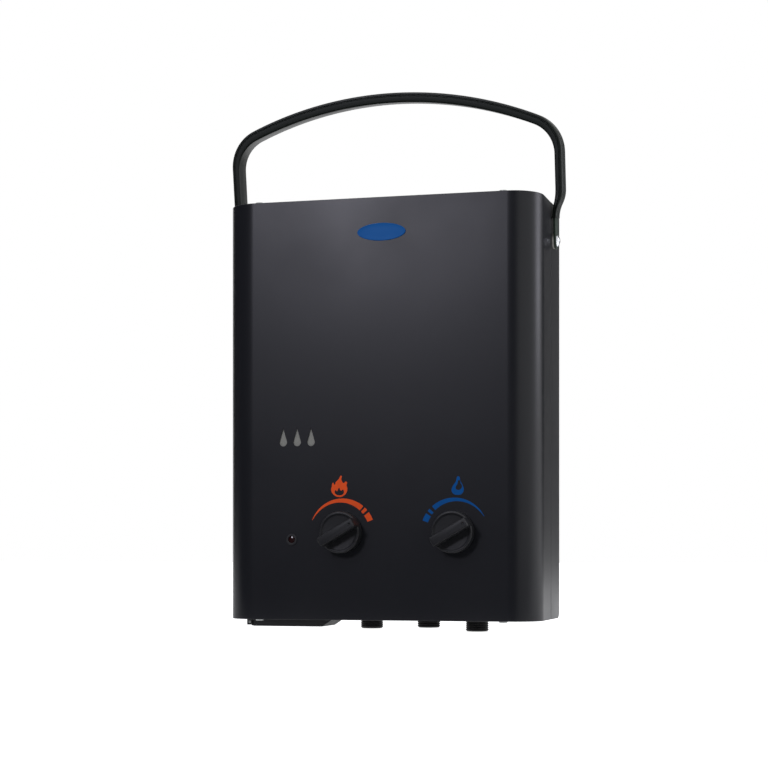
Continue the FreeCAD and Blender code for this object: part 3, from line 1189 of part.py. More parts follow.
# Water coil: the cold water climbs round the chamber before it enters the exchanger.
coil_stand = S["coil_radius"] + S["coil_gap"]
coil_x = S["burner_half_width"] + coil_stand
coil_front = y_at(S["burner_front"]) - coil_stand
coil_rear = y_at(S["burner_front"] + S["burner_depth"]) + coil_stand
riser_x = S["burner_half_width"] + S["tube_overhang"] + 2 * S["coil_radius"]
riser_y = y_at(S["valve_setback"] + S["riser_shift"])
coil_z = z_at(S["coil_bottom"])
coil_points = [Vector(riser_x, riser_y, coil_z - S["coil_entry"]), Vector(riser_x, riser_y, coil_z)]
quarter = S["coil_pitch"] / 4
for turn in range(int(S["coil_turns"])):
    height = coil_z + turn * S["coil_pitch"]
    coil_points += [Vector(coil_x, coil_front, height + quarter),
                    Vector(-coil_x, coil_front, height + 2 * quarter),
                    Vector(-coil_x, coil_rear, height + 3 * quarter),
                    Vector(coil_x, coil_rear, height + 4 * quarter)]
coil_top = coil_points[-1].z + quarter / 2
coil_points += [Vector(riser_x, tube_rows[0], coil_top), Vector(riser_x, tube_rows[0], tube_z),
                Vector(tube_reach, tube_rows[0], tube_z)]
node("water_coil", pipe("WaterCoil", coil_points, S["coil_radius"], S["pipe_wall"], S["coil_bend"]))

valve_roof = z_at(S["water_valve_top"])
outlet_x = S["water_valve_right"] - S["water_outlet_inset"]
node("cold_pipe", pipe("ColdPipe",
                       [Vector(outlet_x, port_y, valve_roof),
                        Vector(outlet_x, port_y, valve_roof + S["cold_rise"]),
                        Vector(riser_x, riser_y, coil_z - S["coil_entry"] - S["cold_rise"]),
                        Vector(riser_x, riser_y, coil_z - S["coil_entry"])],
                       S["coil_radius"], S["pipe_wall"], S["long_bend"]))
hot_level = z_at(S["hot_pipe_height"])
node("hot_pipe", pipe("HotPipe",
                      [Vector(-tube_reach, tube_rows[2], tube_z),
                       Vector(-S["side_run"], tube_rows[2], tube_z),
                       Vector(-S["side_run"], tube_rows[2], tube_z - S["hot_drop"]),
                       Vector(-S["side_run"], port_y, tube_z - S["hot_drop"] - S["hot_shift"]),
                       Vector(-S["side_run"], port_y, hot_level),
                       Vector(S["hot_port_offset"], port_y, hot_level),
                       Vector(S["hot_port_offset"], port_y, neck_top)],
                      S["pipe_radius"], S["pipe_wall"], S["long_bend"]))

# Pipe nuts on the hot outlet, on the water valve and below the coil.
pipe_nuts = []
for name, place, low, bore in (
        ("HotNut", ("hot_port_offset", back("port_setback")), up("port_neck_top"), "pipe_radius"),
        ("ValveNut", ("water_valve_right - water_outlet_inset", back("port_setback")),
         up("water_valve_top"), "coil_radius"),
        ("CoilNut", ("burner_half_width + tube_overhang + 2 * coil_radius",
                     back("valve_setback + riser_shift")),
         up("coil_bottom - coil_entry - union_height / 2"), "coil_radius")):
    blank = hexagon(name + "Blank", "Z", "union_radius", place, (low, f"{low} + union_height"))
    pipe_nuts.append(cut(name, blank, rod(name + "Bore", "Z", bore, place,
                                          (f"{low} - 1", f"{low} + union_height + 1"))))
node("pipe_nuts", group("PipeNuts", *pipe_nuts))

# Water valve: a cast body with a flange for the diaphragm.
flange_right = "water_valve_left"
flange_left = "water_valve_left - water_flange_thickness"
diaphragm_left = f"{flange_left} - diaphragm_thickness"
cover_left = f"{diaphragm_left} - cover_thickness"
water_block = block("WaterValveBlock", ("water_valve_left", "water_valve_right"),
                    (back(WATER_VALVE_Y[0]), back(WATER_VALVE_Y[1])),
                    (up("port_neck_top"), up("water_valve_top")))
water_flange = rod("WaterValveFlange", "X", "diaphragm_radius", rod_axis, (flange_left, flange_right))
outlet_place = ("water_valve_right - water_outlet_inset", back("port_setback"))


def flange_screws(name, radius, span):
    """Six rods on the screw circle of the diaphragm."""
    rods = []
    for index in range(6):
        angle = f"{60 * index + 30} deg"
        rods.append(rod(f"{name}{index + 1}", "X", radius,
                        (f"{AXIS_Y} + flange_screw_circle * cos({angle})",
                         f"{AXIS_Z} + flange_screw_circle * sin({angle})"), span))
    return rods


node("water_valve_body", cut(
    "WaterValveBody", join("WaterValveSolid", water_block, water_flange),
    rod("WetChamber", "X", "cover_hollow_radius", rod_axis,
        (f"{flange_left} - 1", f"{flange_left} + water_flange_thickness / 2")),
    rod("WaterInletBore", "Z", "pipe_radius - pipe_wall", ("cold_port_offset", back("port_setback")),
        (up("port_neck_top - 1"), up("water_gallery_height"))),
    rod("WaterOutletBore", "Z", "coil_radius - pipe_wall", outlet_place,
        (up("water_gallery_height"), up("water_valve_top + 1"))),
    rod("WaterGallery", "X", "coil_radius - pipe_wall",
        (back("port_setback"), up("water_gallery_height")),
        ("cold_port_offset", "water_valve_right - water_outlet_inset")),
    rod("DrainBore", "Y", "drain_radius / 2", ("water_valve_left + water_valve_depth / 2",
                                              up("drain_height")),
        (back(f"{WATER_VALVE_Y[0]} - 1"), back("port_setback"))),
    rod("WaterSpindleSocket", "Y", "spindle_radius + running_clearance",
        ("water_knob_offset", AXIS_Z),
        (back(f"{WATER_VALVE_Y[0]} - 1"), back(f"{WATER_VALVE_Y[0]} + spindle_socket"))),
    *flange_screws("FlangeHole", "flange_screw_radius", (f"{flange_left} - 1", flange_right))))

drain_place = ("water_valve_left + water_valve_depth / 2", up("drain_height"))
node("drain_plug", join(
    "DrainPlug",
    rod("DrainHead", "Y", "drain_radius", drain_place,
        (back(f"{WATER_VALVE_Y[0]} - drain_head"), back(WATER_VALVE_Y[0]))),
    rod("DrainShank", "Y", "drain_radius / 2", drain_place,
        (back(WATER_VALVE_Y[0]), back(f"{WATER_VALVE_Y[0]} + drain_shank")))))

diaphragm_disc = rod("DiaphragmDisc", "X", "diaphragm_radius", rod_axis, (diaphragm_left, flange_left))
node("diaphragm", cut("Diaphragm", diaphragm_disc,
                      *flange_screws("DiaphragmHole", "flange_screw_radius",
                                     (f"{diaphragm_left} - 1", f"{flange_left} + 1"))))
diaphragm_lid = rod("DiaphragmLid", "X", "diaphragm_radius", rod_axis, (cover_left, diaphragm_left))
node("diaphragm_cover", cut(
    "DiaphragmCover", diaphragm_lid,
    rod("LidHollow", "X", "cover_hollow_radius", rod_axis,
        (f"{cover_left} + cover_wall", f"{diaphragm_left} + 1")),
    rod("LidBore", "X", "rod_radius + running_clearance", rod_axis,
        (f"{cover_left} - 1", f"{cover_left} + cover_wall + 1")),
    *flange_screws("LidHole", "flange_screw_radius", (f"{cover_left} - 1", f"{diaphragm_left} + 1"))))
heads = flange_screws("LidScrewHead", "2 * flange_screw_radius - slide_clearance",
                      (f"{cover_left} - flange_screw_radius", cover_left))
shanks = flange_screws("LidScrewShank", "flange_screw_radius", (cover_left, flange_right))
node("diaphragm_screws", group("DiaphragmScrews", *[join(f"LidScrew{index}", head, shank)
                                                   for index, (head, shank)
                                                   in enumerate(zip(heads, shanks), start=1)]))

# Push rod with its pressure plate and collar, and the gas poppet on its end.
poppet_right = f"{seat_left} - slide_clearance"
poppet_left = f"{poppet_right} - poppet_length"
plate_right = f"{diaphragm_left} - plate_gap"
lever_right = "lever_offset + lever_thickness / 2"
node("push_rod", join(
    "PushRod",
    rod("RodBar", "X", "rod_radius", rod_axis, (poppet_right, plate_right)),
    rod("RodPlate", "X", "plate_radius", rod_axis, (f"{plate_right} - plate_thickness", plate_right)),
    rod("RodCollar", "X", "collar_disc_radius", rod_axis,
        (f"{lever_right} + lever_gap", f"{lever_right} + lever_gap + collar_disc_length"))))
node("gas_poppet", rod("GasPoppet", "X", "poppet_radius", rod_axis, (poppet_left, poppet_right)))

# Switch: a bracket with a pin, a lever moved by the rod and a microswitch on the gas valve.
LEVER_Z = f"({AXIS_Z} + lever_rise)"
LEVER_Y = (f"{AXIS_Y} - lever_width / 2", f"{AXIS_Y} + lever_width / 2")
ear_outer = "lever_width / 2 + 2 * sheet_metal + ear_gap"
ear_inner = "lever_width / 2 + ear_gap"
bracket_right = "gas_valve_right + sheet_metal"
bracket_plate = block("BracketPlate", ("gas_valve_right", bracket_right),
                      (f"{AXIS_Y} - ({ear_outer})", f"{AXIS_Y} + {ear_outer}"),
                      (f"{AXIS_Z} + lever_rise / 2", f"{LEVER_Z} + lever_upper + sheet_metal"))
ears = [block("EarFront", ("gas_valve_right", "lever_offset + 2 * lever_barrel_radius"),
              (f"{AXIS_Y} - ({ear_outer})", f"{AXIS_Y} - ({ear_inner})"),
              (f"{LEVER_Z} - 2 * lever_barrel_radius", f"{LEVER_Z} + 2 * lever_barrel_radius")),
        block("EarRear", ("gas_valve_right", "lever_offset + 2 * lever_barrel_radius"),
              (f"{AXIS_Y} + {ear_inner}", f"{AXIS_Y} + {ear_outer}"),
              (f"{LEVER_Z} - 2 * lever_barrel_radius", f"{LEVER_Z} + 2 * lever_barrel_radius"))]
lever_pin = rod("LeverPin", "Y", "lever_pin_radius", ("lever_offset", LEVER_Z),
                (f"{AXIS_Y} - ({ear_outer})", f"{AXIS_Y} + {ear_outer}"))
button_z = f"{GAS_Z[1]} + switch_button_rise"
button_window = rod("ButtonWindow", "X", "switch_button_radius + ear_gap", (AXIS_Y, button_z),
                    ("gas_valve_right - 1", f"{bracket_right} + 1"))
node("switch_bracket", cut("SwitchBracket", join("BracketSolid", bracket_plate, *ears, lever_pin),
                           button_window))
lever_plate = block("LeverPlate", ("lever_offset - lever_thickness / 2", lever_right), LEVER_Y,
                    (f"{AXIS_Z} - lever_lower", f"{LEVER_Z} + lever_upper"))
lever_barrel = rod("LeverBarrel", "Y", "lever_barrel_radius", ("lever_offset", LEVER_Z), LEVER_Y)
lever_fork = block("LeverFork", ("lever_offset - 5", "lever_offset + 5"),
                   (f"{AXIS_Y} - rod_radius - ear_gap", f"{AXIS_Y} + rod_radius + ear_gap"),
                   (f"{AXIS_Z} - lever_lower - 1", f"{AXIS_Z} + rod_radius + 2 * sheet_metal"))
lever_bore = rod("LeverBore", "Y", "lever_pin_radius + running_clearance", ("lever_offset", LEVER_Z),
                 (f"{LEVER_Y[0]} - 1", f"{LEVER_Y[1]} + 1"))
node("switch_lever", cut("SwitchLever", join("LeverSolid", lever_plate, lever_barrel),
                         lever_fork, lever_bore))
switch_box = block("SwitchBox", ("gas_valve_right - switch_length", "gas_valve_right"),
                   (f"{AXIS_Y} - switch_width / 2", f"{AXIS_Y} + switch_width / 2"),
                   (GAS_Z[1], f"{GAS_Z[1]} + switch_height"))
switch_button = rod("SwitchButton", "X", "switch_button_radius", (AXIS_Y, button_z),
                    ("gas_valve_right", "lever_offset - lever_thickness / 2 - lever_gap"))
node("microswitch", join("Microswitch", switch_box, switch_button))

# Overheat thermostat on the front wall of the exchanger.
node("overheat_thermostat", join(
    "Thermostat",
    rod("ThermostatBody", "Y", "thermostat_radius", ("thermostat_offset", up("thermostat_height")),
        (f"{BURNER_Y[0]} - thermostat_depth", BURNER_Y[0])),
    block("ThermostatTabs", ("thermostat_offset - thermostat_radius", "thermostat_offset + thermostat_radius"),
          (f"{BURNER_Y[0]} - thermostat_depth - thermostat_radius / 2", f"{BURNER_Y[0]} - thermostat_depth"),
          (up("thermostat_height - sheet_metal"), up("thermostat_height")))))

# Igniter box on the back sheet, electrodes through the burner frame and their leads.
IGNITER_X = (f"{LEFT} + igniter_inset", f"{LEFT} + igniter_inset + igniter_width")
node("igniter_box", block("IgniterBox", IGNITER_X, ("-sheet_metal - igniter_thickness", "-sheet_metal"),
                          (up("igniter_bottom"), up("igniter_bottom + igniter_height"))))
electrode_front = "burner_front - electrode_reach"
for name, label, offset in (("Spark", "spark_electrode", "spark_offset"),
                            ("Sensor", "flame_sensor", "sensor_offset")):
    place = (offset, up("chamber_bottom - electrode_drop"))
    ceramic_rear = f"{electrode_front} + ceramic_length"
    node(label, join(
        f"{name}Electrode",
        rod(f"{name}Ceramic", "Y", "ceramic_radius", place, (back(electrode_front), back(ceramic_rear))),
        rod(f"{name}Flange", "Y", "electrode_flange / 2 + sheet_metal", place,
            (back("burner_front - sheet_metal"), back("burner_front"))),
        rod(f"{name}Wire", "Y", "wire_radius", place,
            (back(ceramic_rear), back(f"{ceramic_rear} + electrode_wire")))))

igniter_left = -S["case_width"] / 2 + S["igniter_inset"]
electrode_z = z_at(S["chamber_bottom"] - S["electrode_drop"])
electrode_y = y_at(S["burner_front"] - S["electrode_reach"])
igniter_front = -S["sheet_metal"] - S["igniter_thickness"]
leads = []
for index, (target, across, level) in enumerate(
        ((S["spark_offset"], S["lead_setback"], S["lead_height"]),
         (S["sensor_offset"], S["lead_setback"] - 2 * S["lead_radius"],
          S["lead_height"] - 4 * S["lead_radius"])), start=1):
    lead_x = igniter_left + index * S["igniter_width"] / 3
    leads.append(feature(f"Lead{index}", tube_along(
        [Vector(lead_x, igniter_front, z_at(level)), Vector(lead_x, y_at(across), z_at(level)),
         Vector(target, y_at(across), z_at(level)), Vector(target, y_at(across), electrode_z),
         Vector(target, electrode_y, electrode_z)], S["lead_radius"], S["lead_bend"])))
node("ignition_leads", group("IgnitionLeads", *leads))

# Battery case: an open-bottomed box with a flange under the bottom plate and hinge lugs.
BOX_X = ("battery_left", "(battery_left + battery_width)")
BOX_Y = (back("battery_front"), back("battery_front + battery_depth"))
HINGE_X, HINGE_Z = "(battery_left + hinge_inset)", up("-hinge_drop")
HINGE = (HINGE_X, HINGE_Z)
battery_block = block("BatteryBlock", BOX_X, BOX_Y, (FLOOR, up("battery_top")))
rim_left, rim_front = f"{BOX_X[0]} - battery_flange", f"{BOX_Y[0]} - battery_flange"
rim_rear, rim_z = f"{BOX_Y[1]} + battery_flange", (FLOOR, up("sheet_metal"))
rim_plate = block("RimPlate", (f"{rim_left} + battery_corner", f"{BOX_X[1]} + battery_flange"),
                  (rim_front, rim_rear), rim_z)
rim_side = block("RimSide", (rim_left, f"{rim_left} + battery_corner"),
                 (f"{rim_front} + battery_corner", rim_rear), rim_z)
rim_corner = rod("RimCorner", "Z", "battery_corner",
                 (f"{rim_left} + battery_corner", f"{rim_front} + battery_corner"), rim_z)
battery_rim = join("BatteryRim", rim_plate, rim_side, rim_corner)
lug_half = "(door_barrel_radius + slide_clearance)"
lugs = [block(f"HingeLug{name}", (f"{HINGE_X} - {lug_half}", f"{HINGE_X} + {lug_half}"), span,
              (f"{HINGE_Z} - {lug_half}", FLOOR))
        for name, span in (("Front", (BOX_Y[0], f"{BOX_Y[0]} + door_lug")),
                           ("Rear", (f"{BOX_Y[1]} - door_lug", BOX_Y[1])))]
battery_hollow = block("BatteryHollow", (f"{BOX_X[0]} + battery_wall", f"{BOX_X[1]} - battery_wall"),
                       (f"{BOX_Y[0]} + battery_wall", f"{BOX_Y[1]} - battery_wall"),
                       (up("-hinge_drop / 4"), up("battery_top - battery_wall")))
lug_bore = rod("LugBore", "Y", "door_pin_radius", HINGE, (f"{BOX_Y[0]} - 1", f"{BOX_Y[1]} + 1"))
battery_shell = cut("BatteryShell", join("BatterySolid", battery_block, battery_rim), battery_hollow)
node("battery_case", cut("BatteryCase", join("BatteryWithLugs", battery_shell, *lugs), lug_bore))
node("door_pin", rod("DoorPin", "Y", "door_pin_radius", HINGE, BOX_Y))

# Battery door: a shallow tray on the pin that slopes up to the case at its free end.
door_top, door_bottom = up("-door_gap"), up("-door_drop")
DOOR_Y = (f"{BOX_Y[0]} - battery_flange / 2", f"{BOX_Y[1]} + battery_flange / 2")
free_x = f"({HINGE_X} + {lug_half} + lug_clearance)"
ramp_x = "(door_reach - door_ramp)"
tray = block("DoorTray", (free_x, ramp_x), DOOR_Y, (door_bottom, door_top))
ramp = doc.addObject("Part::Wedge", "DoorRamp")
bind(ramp, Xmin="0", Xmax="door_ramp", X2min="0", X2max="door_skin",
     Ymin="0", Ymax="door_drop - door_gap",
     Zmin="0", Zmax="battery_depth + battery_flange", Z2min="0", Z2max="battery_depth + battery_flange")
ramp.Placement = Placement(Vector(), Rotation(Vector(1, 0, 0), -90))
bind(ramp, Placement__Base__x=ramp_x, Placement__Base__y=DOOR_Y[0], Placement__Base__z=door_top)
BARREL_Y = (f"{BOX_Y[0]} + door_lug + lug_clearance", f"{BOX_Y[1]} - door_lug - lug_clearance")
barrel = rod("DoorBarrel", "Y", "door_barrel_radius", HINGE, BARREL_Y)
barrel_web = block("DoorBarrelWeb", (HINGE_X, f"{free_x} + door_skin"), BARREL_Y,
                   (door_bottom, f"{door_bottom} + door_skin"))
barrel_post = block("DoorBarrelPost", (HINGE_X, f"{HINGE_X} + door_barrel_radius"), BARREL_Y,
                    (door_bottom, HINGE_Z))
tray_hollow = block("DoorHollow", (f"{free_x} + door_skin", f"{ramp_x} - door_skin"),
                    (f"{DOOR_Y[0]} + door_skin", f"{DOOR_Y[1]} - door_skin"),
                    (f"{door_bottom} + door_skin", f"{door_top} + 1"))
door_solid = join("DoorSolid", tray, ramp, barrel, barrel_web, barrel_post)
node("battery_door", cut("BatteryDoor", door_solid, tray_hollow,
                         rod("DoorPinBore", "Y", "door_pin_radius + running_clearance", HINGE,
                             (f"{BARREL_Y[0]} - 1", f"{BARREL_Y[1]} + 1"))))

# Batteries with their upper contacts and the leaf springs on the door.
CELL_Y = back("battery_front + battery_depth / 2")
cell_top = "cell_bottom + cell_length"
cells, contacts, springs = [], [], []
for name, x_place in (("Left", f"({BOX_X[0]} + battery_wall + cell_side_gap + cell_radius)"),
                      ("Right", f"({BOX_X[1]} - battery_wall - cell_side_gap - cell_radius)")):
    place = (x_place, CELL_Y)
    cells.append(join(f"Cell{name}",
                      rod(f"CellCan{name}", "Z", "cell_radius", place, (up("cell_bottom"), up(cell_top))),
                      rod(f"CellNub{name}", "Z", "cell_nub_radius", place,
                          (up(cell_top), up(f"{cell_top} + cell_nub_height")))))
    contacts.append(block(f"Contact{name}", (f"{x_place} - cell_radius / 2", f"{x_place} + cell_radius / 2"),
                          (f"{CELL_Y} - cell_nub_radius", f"{CELL_Y} + cell_nub_radius"),
                          (up(f"{cell_top} + cell_nub_height"), up("battery_top - battery_wall"))))
    leaf_axis = (x_place, up("cell_bottom - slide_clearance - spring_radius"))
    ring = cut(f"LeafRing{name}",
               rod(f"LeafOuter{name}", "Y", "spring_radius", leaf_axis,
                   (f"{CELL_Y} - spring_width / 2", f"{CELL_Y} + spring_width / 2")),
               rod(f"LeafInner{name}", "Y", "spring_radius - spring_thickness", leaf_axis,
                   (f"{CELL_Y} - spring_width", f"{CELL_Y} + spring_width")))
    leaf = doc.addObject("Part::MultiCommon", f"Leaf{name}")
    leaf.Shapes = [ring, block(f"LeafSpace{name}",
                               (f"{x_place} - spring_radius", f"{x_place} + spring_radius"),
                               (f"{CELL_Y} - spring_width", f"{CELL_Y} + spring_width"),
                               (f"{door_bottom} + door_skin", up("cell_bottom")))]
    springs.append(leaf)
node("batteries", group("Batteries", *cells))
node("battery_contacts", group("BatteryContacts", *contacts))
node("door_springs", group("DoorSprings", *springs))

doc.recompute()
for thing in doc.Objects:
    if "Invalid" in thing.State or "Error" in thing.State:
        raise ValueError(f"{thing.Name} failed: {thing.State}")
for label, thing in NODES.items():
    if thing.Shape.isNull() or not thing.Shape.isValid():
        raise ValueError(f"{label} has no valid shape")

os.makedirs("parts", exist_ok=True)
for label, thing in NODES.items():
    thing.Shape.exportStep(f"parts/{label}.step")
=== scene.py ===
import math
import bmesh
import bpy
from mathutils import Matrix, Vector


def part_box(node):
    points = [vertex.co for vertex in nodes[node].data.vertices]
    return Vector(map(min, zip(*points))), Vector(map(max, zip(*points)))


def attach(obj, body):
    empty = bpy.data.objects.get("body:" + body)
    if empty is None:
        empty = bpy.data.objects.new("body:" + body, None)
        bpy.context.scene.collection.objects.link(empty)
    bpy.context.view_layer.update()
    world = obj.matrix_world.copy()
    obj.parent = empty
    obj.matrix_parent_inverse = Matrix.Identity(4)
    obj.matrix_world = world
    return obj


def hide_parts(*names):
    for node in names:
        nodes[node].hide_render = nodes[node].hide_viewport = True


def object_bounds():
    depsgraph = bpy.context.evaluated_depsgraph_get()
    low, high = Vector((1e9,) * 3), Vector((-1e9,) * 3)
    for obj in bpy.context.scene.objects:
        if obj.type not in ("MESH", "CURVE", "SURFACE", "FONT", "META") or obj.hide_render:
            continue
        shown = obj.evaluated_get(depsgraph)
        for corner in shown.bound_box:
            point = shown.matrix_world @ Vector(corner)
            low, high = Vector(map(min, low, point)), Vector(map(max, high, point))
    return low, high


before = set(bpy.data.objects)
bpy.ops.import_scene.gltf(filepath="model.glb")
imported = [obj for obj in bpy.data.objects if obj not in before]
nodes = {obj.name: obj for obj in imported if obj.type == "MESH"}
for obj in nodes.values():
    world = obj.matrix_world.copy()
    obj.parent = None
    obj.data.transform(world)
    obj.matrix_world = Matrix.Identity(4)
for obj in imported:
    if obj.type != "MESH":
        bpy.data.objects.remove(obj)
cad_low, cad_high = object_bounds()
MM = 0.001

# The studio: a camera level with the knobs and a little to the right, and a white floor under
# the pipe stubs. Four soft lamps stand in front on the left, higher up, on the right and above;
# dark cards that only reflections see keep the white room off the case.
scene = bpy.context.scene
scene.view_settings.view_transform = "Standard"
camera_data = bpy.data.cameras.new("camera")
camera_data.lens, camera_data.sensor_width = 86.67, 36
camera_data.shift_y = 0.2168
camera = bpy.data.objects.new("camera", camera_data)
camera.location = (0.4301, -1.687, -0.278)
camera.rotation_euler = (math.radians(90), 0, math.radians(15.04))
scene.collection.objects.link(camera)
scene.camera = camera


def soft_lamp(name, place, target, size, power):
    """A square softbox that faces the target."""
    data = bpy.data.lights.new(name, "AREA")
    data.shape, data.size, data.energy = "SQUARE", size, power
    data.color = (0.88, 0.87, 1.0)
    lamp = bpy.data.objects.new(name, data)
    lamp.location = place
    lamp.rotation_mode = "QUATERNION"
    lamp.rotation_quaternion = (Vector(target) - Vector(place)).to_track_quat("-Z", "Y")
    scene.collection.objects.link(lamp)


soft_lamp("key_lamp", (-0.52, -1.9, 0.5), (0, -0.1, 0), 0.28, 8)
soft_lamp("fill_lamp", (-0.7, -1.7, 1.3), (0, -0.1, 0), 0.7, 5)
soft_lamp("right_lamp", (1.5, 0.55, 0.35), (0.14, -0.08, -0.1), 0.6, 5)
soft_lamp("top_lamp", (0.1, -0.1, 2.1), (0, -0.1, 0), 1.4, 4)


def dark_card(name, corners):
    """A matt black card that only reflections see."""
    mesh = bpy.data.meshes.new(name)
    mesh.from_pydata(corners, [], [(0, 1, 2, 3)])
    card = bpy.data.objects.new(name, mesh)
    scene.collection.objects.link(card)
    card.visible_camera = card.visible_diffuse = card.visible_shadow = False
    paint = bpy.data.materials.new(name)
    paint.use_nodes = True
    paint.node_tree.nodes["Principled BSDF"].inputs["Base Color"].default_value = \
        (0.012, 0.012, 0.013, 1)
    paint.node_tree.nodes["Principled BSDF"].inputs["Roughness"].default_value = 0.95
    mesh.materials.append(paint)


CARD_TOP, CARD_FOOT = 2.0, cad_low.z + 0.001
dark_card("front_card", [(-2.2, -2.6, CARD_FOOT), (1.4, -2.6, CARD_FOOT),
                         (1.4, -2.6, CARD_TOP), (-2.2, -2.6, CARD_TOP)])
dark_card("left_card", [(-1.5, -2.3, CARD_FOOT), (-1.5, 1.2, CARD_FOOT),
                        (-1.5, 1.2, CARD_TOP), (-1.5, -2.3, CARD_TOP)])
dark_card("right_card", [(0.3, 1.6, CARD_FOOT), (1.6, 1.6, CARD_FOOT),
                         (1.6, 1.6, CARD_TOP), (0.3, 1.6, CARD_TOP)])
dark_card("low_card", [(-2.2, -2.6, CARD_FOOT), (1.4, -2.6, CARD_FOOT),
                       (1.4, -0.16, CARD_FOOT), (-2.2, -0.16, CARD_FOOT)])

world = bpy.data.worlds.new("studio")
world.use_nodes = True
scene.world = world
world_nodes, world_links = world.node_tree.nodes, world.node_tree.links
world_nodes.clear()
light_path = world_nodes.new("ShaderNodeLightPath")
seen = world_nodes.new("ShaderNodeMath")
seen.operation = "MAXIMUM"
mirrored_too = world_nodes.new("ShaderNodeMath")
mirrored_too.operation = "MAXIMUM"
shown_sky = world_nodes.new("ShaderNodeBackground")
shown_sky.inputs["Color"].default_value = (1, 1, 1, 1)
lit_sky = world_nodes.new("ShaderNodeBackground")
lit_sky.inputs["Color"].default_value = (0.95, 0.97, 1, 1)
lit_sky.inputs["Strength"].default_value = 0.42
sky_mix = world_nodes.new("ShaderNodeMixShader")
sky_out = world_nodes.new("ShaderNodeOutputWorld")
world_links.new(light_path.outputs["Is Camera Ray"], seen.inputs[0])
world_links.new(light_path.outputs["Is Glossy Ray"], seen.inputs[1])
world_links.new(seen.outputs[0], mirrored_too.inputs[0])
world_links.new(light_path.outputs["Is Transmission Ray"], mirrored_too.inputs[1])
world_links.new(mirrored_too.outputs[0], sky_mix.inputs[0])
world_links.new(lit_sky.outputs[0], sky_mix.inputs[1])
world_links.new(shown_sky.outputs[0], sky_mix.inputs[2])
world_links.new(sky_mix.outputs[0], sky_out.inputs[0])

floor_mesh = bpy.data.meshes.new("floor")
floor_mesh.from_pydata([(-7, -5, cad_low.z), (7, -5, cad_low.z), (7, 9, cad_low.z),
                        (-7, 9, cad_low.z)], [], [(0, 1, 2, 3)])
floor = bpy.data.objects.new("floor", floor_mesh)
scene.collection.objects.link(floor)
floor_paint = bpy.data.materials.new("pale_floor")
floor_paint.use_nodes = True
floor_nodes, floor_links = floor_paint.node_tree.nodes, floor_paint.node_tree.links
floor_shader = floor_nodes["Principled BSDF"]
floor_shader.inputs["Base Color"].default_value = (0.86, 0.86, 0.86, 1)
floor_shader.inputs["Roughness"].default_value = 0.9
floor_shader.inputs["Specular IOR Level"].default_value = 0.05
floor_shader.inputs["Emission Color"].default_value = (1, 1, 1, 1)
floor_path = floor_nodes.new("ShaderNodeLightPath")
floor_seen = floor_nodes.new("ShaderNodeMath")
floor_seen.operation = "MAXIMUM"
floor_glow = floor_nodes.new("ShaderNodeMath")
floor_glow.operation = "MULTIPLY"
floor_links.new(floor_path.outputs["Is Glossy Ray"], floor_glow.inputs[0])
floor_links.new(floor_path.outputs["Is Camera Ray"], floor_seen.inputs[0])
floor_links.new(floor_glow.outputs[0], floor_seen.inputs[1])
floor_place = floor_nodes.new("ShaderNodeTexCoord")
floor_reach = floor_nodes.new("ShaderNodeVectorMath")
floor_reach.operation = "LENGTH"
floor_fade = floor_nodes.new("ShaderNodeMapRange")
floor_fade.inputs["From Min"].default_value = 0.2
floor_fade.inputs["From Max"].default_value = 0.9
floor_fade.inputs["To Min"].default_value = 0.5
floor_fade.inputs["To Max"].default_value = 1.0
floor_links.new(floor_place.outputs["Object"], floor_reach.inputs[0])
floor_links.new(floor_reach.outputs["Value"], floor_fade.inputs["Value"])
floor_links.new(floor_fade.outputs[0], floor_glow.inputs[1])
floor_links.new(floor_seen.outputs[0], floor_shader.inputs["Emission Strength"])
floor_mesh.materials.append(floor_paint)


# Front cover: one steel sheet folded round the front, with rounded upright corners and flanges
# turned in at the top and bottom. It is powder coated satin charcoal, with a fine orange peel.
def value_group(name, sockets_in, sockets_out):
    """An empty shader node group with named sockets, and its two ends."""
    tree = bpy.data.node_groups.new(name, "ShaderNodeTree")
    for label, kind, value in sockets_in:
        socket = tree.interface.new_socket(name=label, in_out="INPUT", socket_type=kind)
        socket.default_value = value
    for label, kind in sockets_out:
        tree.interface.new_socket(name=label, in_out="OUTPUT", socket_type=kind)
    return tree, tree.nodes.new("NodeGroupInput"), tree.nodes.new("NodeGroupOutput")


NUMBER, COLOUR, DIRECTION = "NodeSocketFloat", "NodeSocketColor", "NodeSocketVector"

grain_tree, grain_in, grain_out = value_group(
    "surface_grain", [("Fineness", NUMBER, 900.0), ("Stretch", DIRECTION, (1, 1, 1))],
    [("Height", NUMBER)])
grain_place = grain_tree.nodes.new("ShaderNodeTexCoord")
grain_stretch = grain_tree.nodes.new("ShaderNodeVectorMath")
grain_stretch.operation = "MULTIPLY"
grain_noise = grain_tree.nodes.new("ShaderNodeTexNoise")
grain_noise.inputs["Detail"].default_value = 3
grain_noise.inputs["Roughness"].default_value = 0.55
grain_tree.links.new(grain_place.outputs["Object"], grain_stretch.inputs[0])
grain_tree.links.new(grain_in.outputs["Stretch"], grain_stretch.inputs[1])
grain_tree.links.new(grain_stretch.outputs[0], grain_noise.inputs["Vector"])
grain_tree.links.new(grain_in.outputs["Fineness"], grain_noise.inputs["Scale"])
grain_tree.links.new(grain_noise.outputs["Fac"], grain_out.inputs["Height"])

